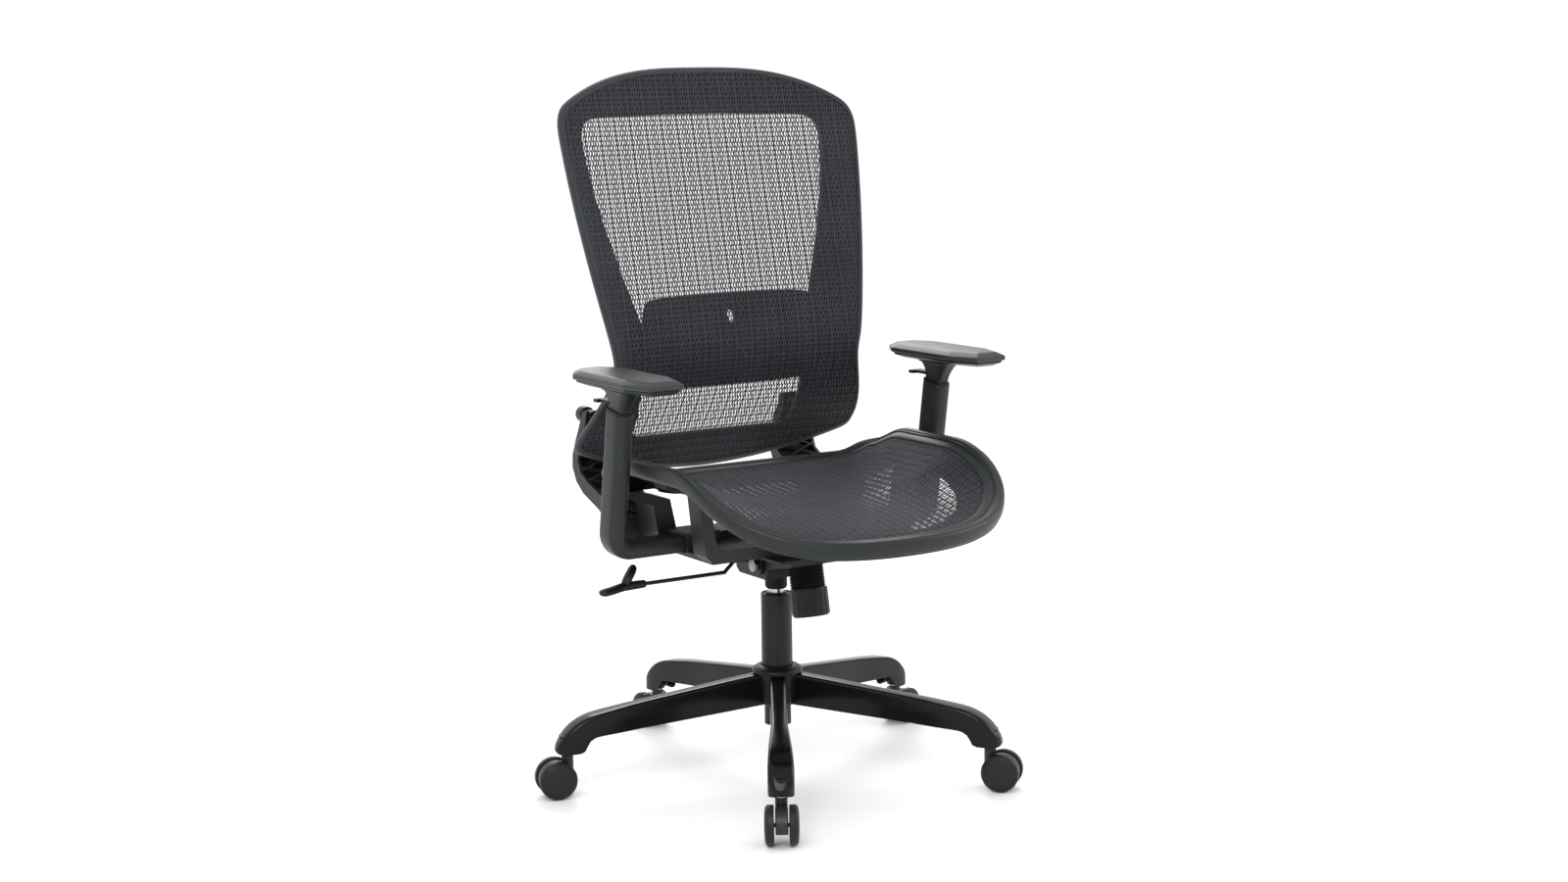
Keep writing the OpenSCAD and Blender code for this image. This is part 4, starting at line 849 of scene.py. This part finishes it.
def add_arm_brackets():
    """Outer post and bar in one swept piece with a rounded elbow."""
    for side, name in ((-1, "left"), (1, "right")):
        elbow, out = Vector((side * ARM_X, ELBOW_Y, ELBOW_Z)), Vector((side, 0, 0))

        def post_ring(height, cut, r):
            return [elbow + ARM_RISE * height + out * x + ARM_FORE * y
                    for x, y in oblong(POST_WIDTH / 2 - cut, POST_LENGTH / 2 - cut, r - cut)]
        rings = [post_ring(POST_RISE - down, cut, r) for down, cut, r in
                 ((60, 3.05, 10), (0.6, 3.05, 10), (0.2, 2.6, 13), (0, 1.9, 13), (0.3, 0.8, 13), (1.3, 0.1, 13),
                  (3, 0, 13), (POST_RISE / 2, 0, 13), (POST_RISE - 42, 0, 13), (POST_RISE - 28, 0, 13))]
        turn_x, turn_z = ARM_X - POST_WIDTH / 2 - 10, ELBOW_Z + 20
        for a in np.radians(np.linspace(0, 90, 10)):
            share = a / (math.pi / 2)
            half = POST_WIDTH / 2 + (BAR_HIGH - BAR_LOW - POST_WIDTH) / 2 * share
            mid = 25.0 + share
            axis = Vector((side * math.cos(a), 0, -math.sin(a)))
            centre = Vector((side * turn_x, ELBOW_Y - (1 - share) ** 2 * 3.4, turn_z)) + axis * mid
            v = ARM_FORE.lerp(Vector((0, 1, 0)), float(smoothstep(share))).normalized()
            rings.append([centre + axis * x + v * y for x, y in oblong(half, POST_LENGTH / 2, 13 - 3 * share)])
        for x in (250, 220, 190, 182, BAR_END + 2):
            middle = Vector((side * x, ELBOW_Y, (BAR_LOW + BAR_HIGH) / 2))
            rings.append([middle + Vector((0, 0, -1)) * p + Vector((0, 1, 0)) * q
                          for p, q in oblong((BAR_HIGH - BAR_LOW) / 2, POST_LENGTH / 2, 10)])
        points, faces = loft(rings if side > 0 else [r[::-1] for r in rings])
        build(f"arm_tube_{name}", points, faces, body="seat_unit", slot="dark_plastic",
              replaces=[f"arm_bracket_{name}"], smooth=50)


def add_arm_necks():
    """Sliding inner post whose top flares into the mount under the pad, with a slot for the trigger."""
    for side, name in ((-1, "left"), (1, "right")):
        elbow = Vector((side * ARM_X, ELBOW_Y, ELBOW_Z))
        rings = [[elbow + ARM_RISE * h + Vector((x, 0, 0)) + ARM_FORE * y for x, y in oblong(10.5, 20.5, 5)]
                 for h in (POST_RISE - 104, POST_RISE - 30, POST_RISE + 4)]
        foot = elbow + ARM_RISE * (POST_RISE + 5)
        top = Vector((side * ARM_X, -42.2, NECK_TOP))
        for t in (0.08, 0.2, 0.35, 0.5, 0.65, 0.78, 0.86):
            centre = foot.lerp(top, t)
            wide, long = 10.5 + 7.0 * t ** 1.5, 20.5 + 21.0 * t ** 1.9
            tilt = ARM_FORE.lerp(Vector((0, 1, 0)), t).normalized()
            rings.append([centre + Vector((x, 0, 0)) + tilt * y for x, y in oblong(wide, long, 5 + 8 * t)])
        for z, cut in ((NECK_TOP - 4.0, 0.2), (NECK_TOP - 1.0, 0.0), (NECK_TOP - 0.2, 0.5), (NECK_TOP, 1.2)):
            middle = Vector((side * ARM_X, top.y, z))
            rings.append([middle + Vector((x, y, 0)) for x, y in oblong(18 - cut, 42 - cut, 13)])
        pivot = Vector((side * ARM_X, top.y, 0))
        disc = [[pivot + Vector((12 * math.cos(a), 12 * math.sin(a), z))
                 for a in np.linspace(0, 2 * math.pi, 40, endpoint=False)] for z in (NECK_TOP - 0.5, NECK_TOP + 3.9)]
        piece = build(f"arm_neck_{name}", *join_parts([loft(rings), loft(disc)]), body=f"arm_{name}",
                      slot="dark_plastic", replaces=[f"arm_post_{name}"], smooth=45)
        x = side * ARM_X
        carve(piece, (x - 8.5, TRIGGER_Y - 8, TRIGGER_Z - 5), (x + 8.5, TRIGGER_Y + 52, TRIGGER_Z + 8))


def carve(piece, low, high):
    """Cuts a box out of a piece."""
    points, faces = box_part(low, high)
    data = bpy.data.meshes.new("cutter")
    data.from_pydata([tuple(c * MM for c in p) for p in points], [], faces)
    cutter = bpy.data.objects.new("cutter", data)
    bpy.context.scene.collection.objects.link(cutter)
    mod = piece.modifiers.new("slot", "BOOLEAN")
    mod.operation, mod.object, mod.solver = "DIFFERENCE", cutter, "EXACT"
    bpy.context.view_layer.update()
    cut = bpy.data.meshes.new_from_object(piece.evaluated_get(bpy.context.evaluated_depsgraph_get()))
    piece.modifiers.remove(mod)
    piece.data = cut
    bpy.data.objects.remove(cutter)
    cut.shade_smooth()
    cut.set_sharp_from_angle(angle=math.radians(45))


add_arm_brackets()
add_arm_necks()


# ---------- mechanism ----------

TENSION_START = Vector((0, -88, 357))
TENSION_AXIS = Vector((0, -math.sin(math.radians(11.5)), -math.cos(math.radians(11.5))))


def add_bellows():
    ridges, radius, length = 9, 28.4, 35.0
    pitch = length / ridges
    profile = [(23, 0.4)]
    for k in range(ridges):
        profile += [(radius - cut, 0.4 + pitch * (k + share))
                    for cut, share in ((2.6, 0), (0.5, 0.3), (0, 0.5), (0.5, 0.7))]
    profile += [(radius - 2.6, 0.2 + length), (23, 0.2 + length)]
    build("bellows", *revolve(profile, 72, TENSION_START, TENSION_AXIS), body="mechanism", slot="rubber_black",
          replaces=["spring_boot"], smooth=60)


def add_tension_knob():
    """Fluted grip: broad lands between rounded grooves, with a rounded lower edge."""
    steps, flutes, radius = 192, 16, 30.0
    bore = 5.06 / radius
    heights = [(0, bore, 0), (0, 0.94, 0), (0, 0.985, 0), (1.2, 1, 0.2), (5, 1, 1), (30, 1, 1), (38, 1, 0.9),
               (41, 0.985, 0.4), (43.4, 0.94, 0), (44.6, 0.86, 0), (45, 0.7, 0), (45, 0.1, 0)]
    turn = Vector((0, 0, 1)).rotation_difference(TENSION_AXIS).to_matrix()
    rings = []
    for h, share, depth in heights:
        ring = []
        for i in range(steps):
            a = 2 * math.pi * i / steps
            groove = max(0.0, math.cos(a * flutes)) ** 3 * 1.5 * depth
            r = radius * share - groove
            ring.append(TENSION_START + turn @ Vector((r * math.cos(a), r * math.sin(a), h + 36)))
        rings.append(ring)
    build("knob_grip", *loft(rings), body="tension_knob", slot="black_plastic", replaces=["tension_knob"], smooth=50)


add_bellows()
add_tension_knob()

LEVER_LOW = 342.0
GRIP_X = -239.0


def add_lever_grip():
    """Round sleeve that ends in a bent, two-lobed paddle."""
    parts = []
    sleeve = [(GRIP_X - 38 + t, 6.3 + 1.1 * (1 - t / 38)) for t in (0, 6, 14, 22, 30, 36)]
    turns = np.linspace(0, 2 * math.pi, 24, endpoint=False)
    rings = [[(x, r * math.cos(a), LEVER_LOW + r * math.sin(a)) for a in turns]
             for x, r in sleeve + [(GRIP_X - 0.6, 6.0), (GRIP_X, 5.0), (GRIP_X, 3.3)]]
    parts.append(loft(rings))

    def lobe(path):
        """Oval tube along a path of (x, y, z, half width, half thickness) from the grip's end."""
        out = []
        path = [(GRIP_X + x, y, LEVER_LOW + z, wide, thick) for x, y, z, wide, thick in path]
        for k, (x, y, z, wide, thick) in enumerate(path):
            p, q = Vector(path[max(k - 1, 0)][:3]), Vector(path[min(k + 1, len(path) - 1)][:3])
            along = (q - p).normalized()
            side = Vector((0, 1, 0))
            up = along.cross(side).normalized()
            ring = np.linspace(0, 2 * math.pi, 20, endpoint=False)
            out.append([Vector((x, y, z)) + side * wide * math.cos(a) + up * thick * math.sin(a) for a in ring])
        return loft(out)
    parts.append(lobe([(-26, 0, 0, 5, 5), (-36, 0, 0, 8.5, 7), (-48, -2, -1.5, 10.5, 6.4), (-62, -5, -3, 12, 6),
                       (-74, -8, -3.5, 11.5, 6), (-81, -9, -3.5, 8.5, 4.6), (-84, -9.5, -3.5, 3, 1.6)]))
    parts.append(lobe([(-38, 0, -1, 5, 5), (-33, 1, 6, 8.5, 6.5), (-26, 4, 14, 10.5, 6.2), (-18, 8, 22, 10.5, 6),
                       (-13, 10.5, 27, 7.5, 4.6), (-11.4, 11.3, 28.8, 2.5, 1.6)]))
    build("lever_paddle", *join_parts(parts), body="lever", slot="black_plastic", replaces=["lever_grip"], smooth=70)


add_lever_grip()


# ---------- back arms ----------

ARM_INNER, ARM_OUTER, SKIN = 150.0, 228.0, 5.0


def add_arm_ribs():
    """Crossed stiffening ribs inside the channel of each back arm."""
    line = [(112, 414), (146, 437), (184, 453), (215, 468), (237, 487), (241, 512), (233, 537), (219, 560), (210, 580)]
    deep, thin = 9.0, 1.3
    for side, name in ((-1, "left"), (1, "right")):
        parts = []
        for k in range(len(line) - 1):
            (y0, z0), (y1, z1) = line[k], line[k + 1]
            along = Vector((0, y1 - y0, z1 - z0)).normalized()
            inward = Vector((0, -along.z, along.y))
            for x0, x1 in ((ARM_INNER + SKIN, ARM_OUTER - SKIN), (ARM_OUTER - SKIN, ARM_INNER + SKIN)):
                a, b = Vector((side * x0, y0, z0)), Vector((side * x1, y1, z1))
                across = (b - a).normalized().cross(inward) * thin
                quad = [a - across, a + across, b + across, b - across]
                low = [p - inward * deep * 0.2 for p in quad]
                high = [p + inward * deep for p in quad]
                parts.append((low + high, BOX_FACES))
        build(f"arm_ribs_{name}", *join_parts(parts), body="seat_unit", slot="dark_plastic", bevel=0.4)


add_arm_ribs()


# ---------- solids kept from the frame ----------

# width of the bevel in millimetres on each solid that stays visible
EDGES = {"mechanism_housing": 1.2, "seat_plate": 1.2, "seat_tray": 3.0, "arm_sleeve_left": 0.8, "arm_sleeve_right": 0.8,
         "arm_trigger_left": 1.0, "arm_trigger_right": 1.0, "back_arm_left": 1.5, "back_arm_right": 1.5,
         "lumbar_knob_left": 1.5, "lumbar_knob_right": 1.5, "arm_bolts": 0.6, "back_bolts": 0.6, "back_screws": 0.5,
         "tilt_shaft": 0.6, "lock_bush": 0.4}


def dress_solids():
    slots = {row["node"]: row["material_slot"] for row in frame["record"]["subparts"]}
    for node, solid in frame["nodes"].items():
        solid.data.materials.clear()
        solid.data.materials.append(MATS[slots[node]])
        for face in solid.data.polygons:
            face.material_index = 0
        if not solid.hide_render:
            finish_edges(solid, 35, EDGES.get(node, 0.0), 3)


dress_solids()


# ---------- stage and light ----------

def add_stage():
    bpy.ops.mesh.primitive_plane_add(size=80, location=(0, 0, -0.0005))
    floor = bpy.context.active_object
    floor.name = "floor"
    mat = bpy.data.materials.new("floor")
    mat.use_nodes = True
    nodes, links = mat.node_tree.nodes, mat.node_tree.links
    bsdf = nodes["Principled BSDF"]
    noise = nodes.new("ShaderNodeTexNoise")
    noise.inputs["Scale"].default_value = 3.0
    ramp = nodes.new("ShaderNodeValToRGB")
    ramp.color_ramp.elements[0].color = (0.93, 0.93, 0.935, 1)
    ramp.color_ramp.elements[1].color = (0.96, 0.96, 0.96, 1)
    links.new(noise.outputs["Fac"], ramp.inputs["Fac"])
    links.new(ramp.outputs["Color"], bsdf.inputs["Base Color"])
    bsdf.inputs["Roughness"].default_value = 0.6
    floor.data.materials.append(mat)


def area_light(name, place, target, size, power, colour=(1, 1, 1)):
    data = bpy.data.lights.new(name, "AREA")
    data.shape, data.size, data.energy, data.color = "SQUARE", size, power, colour
    lamp = bpy.data.objects.new(name, data)
    lamp.location = place
    lamp.rotation_euler = (Vector(target) - Vector(place)).to_track_quat("-Z", "Y").to_euler()
    bpy.context.scene.collection.objects.link(lamp)


def add_light():
    world = bpy.data.worlds.new("studio")
    world.use_nodes = True
    world.node_tree.nodes["Background"].inputs["Color"].default_value = (1, 1, 1, 1)
    world.node_tree.nodes["Background"].inputs["Strength"].default_value = 1.1
    bpy.context.scene.world = world
    area_light("key", (-2.2, -2.4, 2.8), (0, 0, 0.6), 1.8, 60)
    area_light("fill", (2.8, -1.4, 1.6), (0, 0, 0.6), 1.6, 30, (0.95, 0.97, 1.0))
    area_light("rim", (1.2, 2.6, 2.4), (0, 0, 0.8), 1.8, 40)
    bpy.context.scene.view_settings.view_transform = "Standard"
    bpy.context.scene.view_settings.look = "None"


add_stage()
add_light()
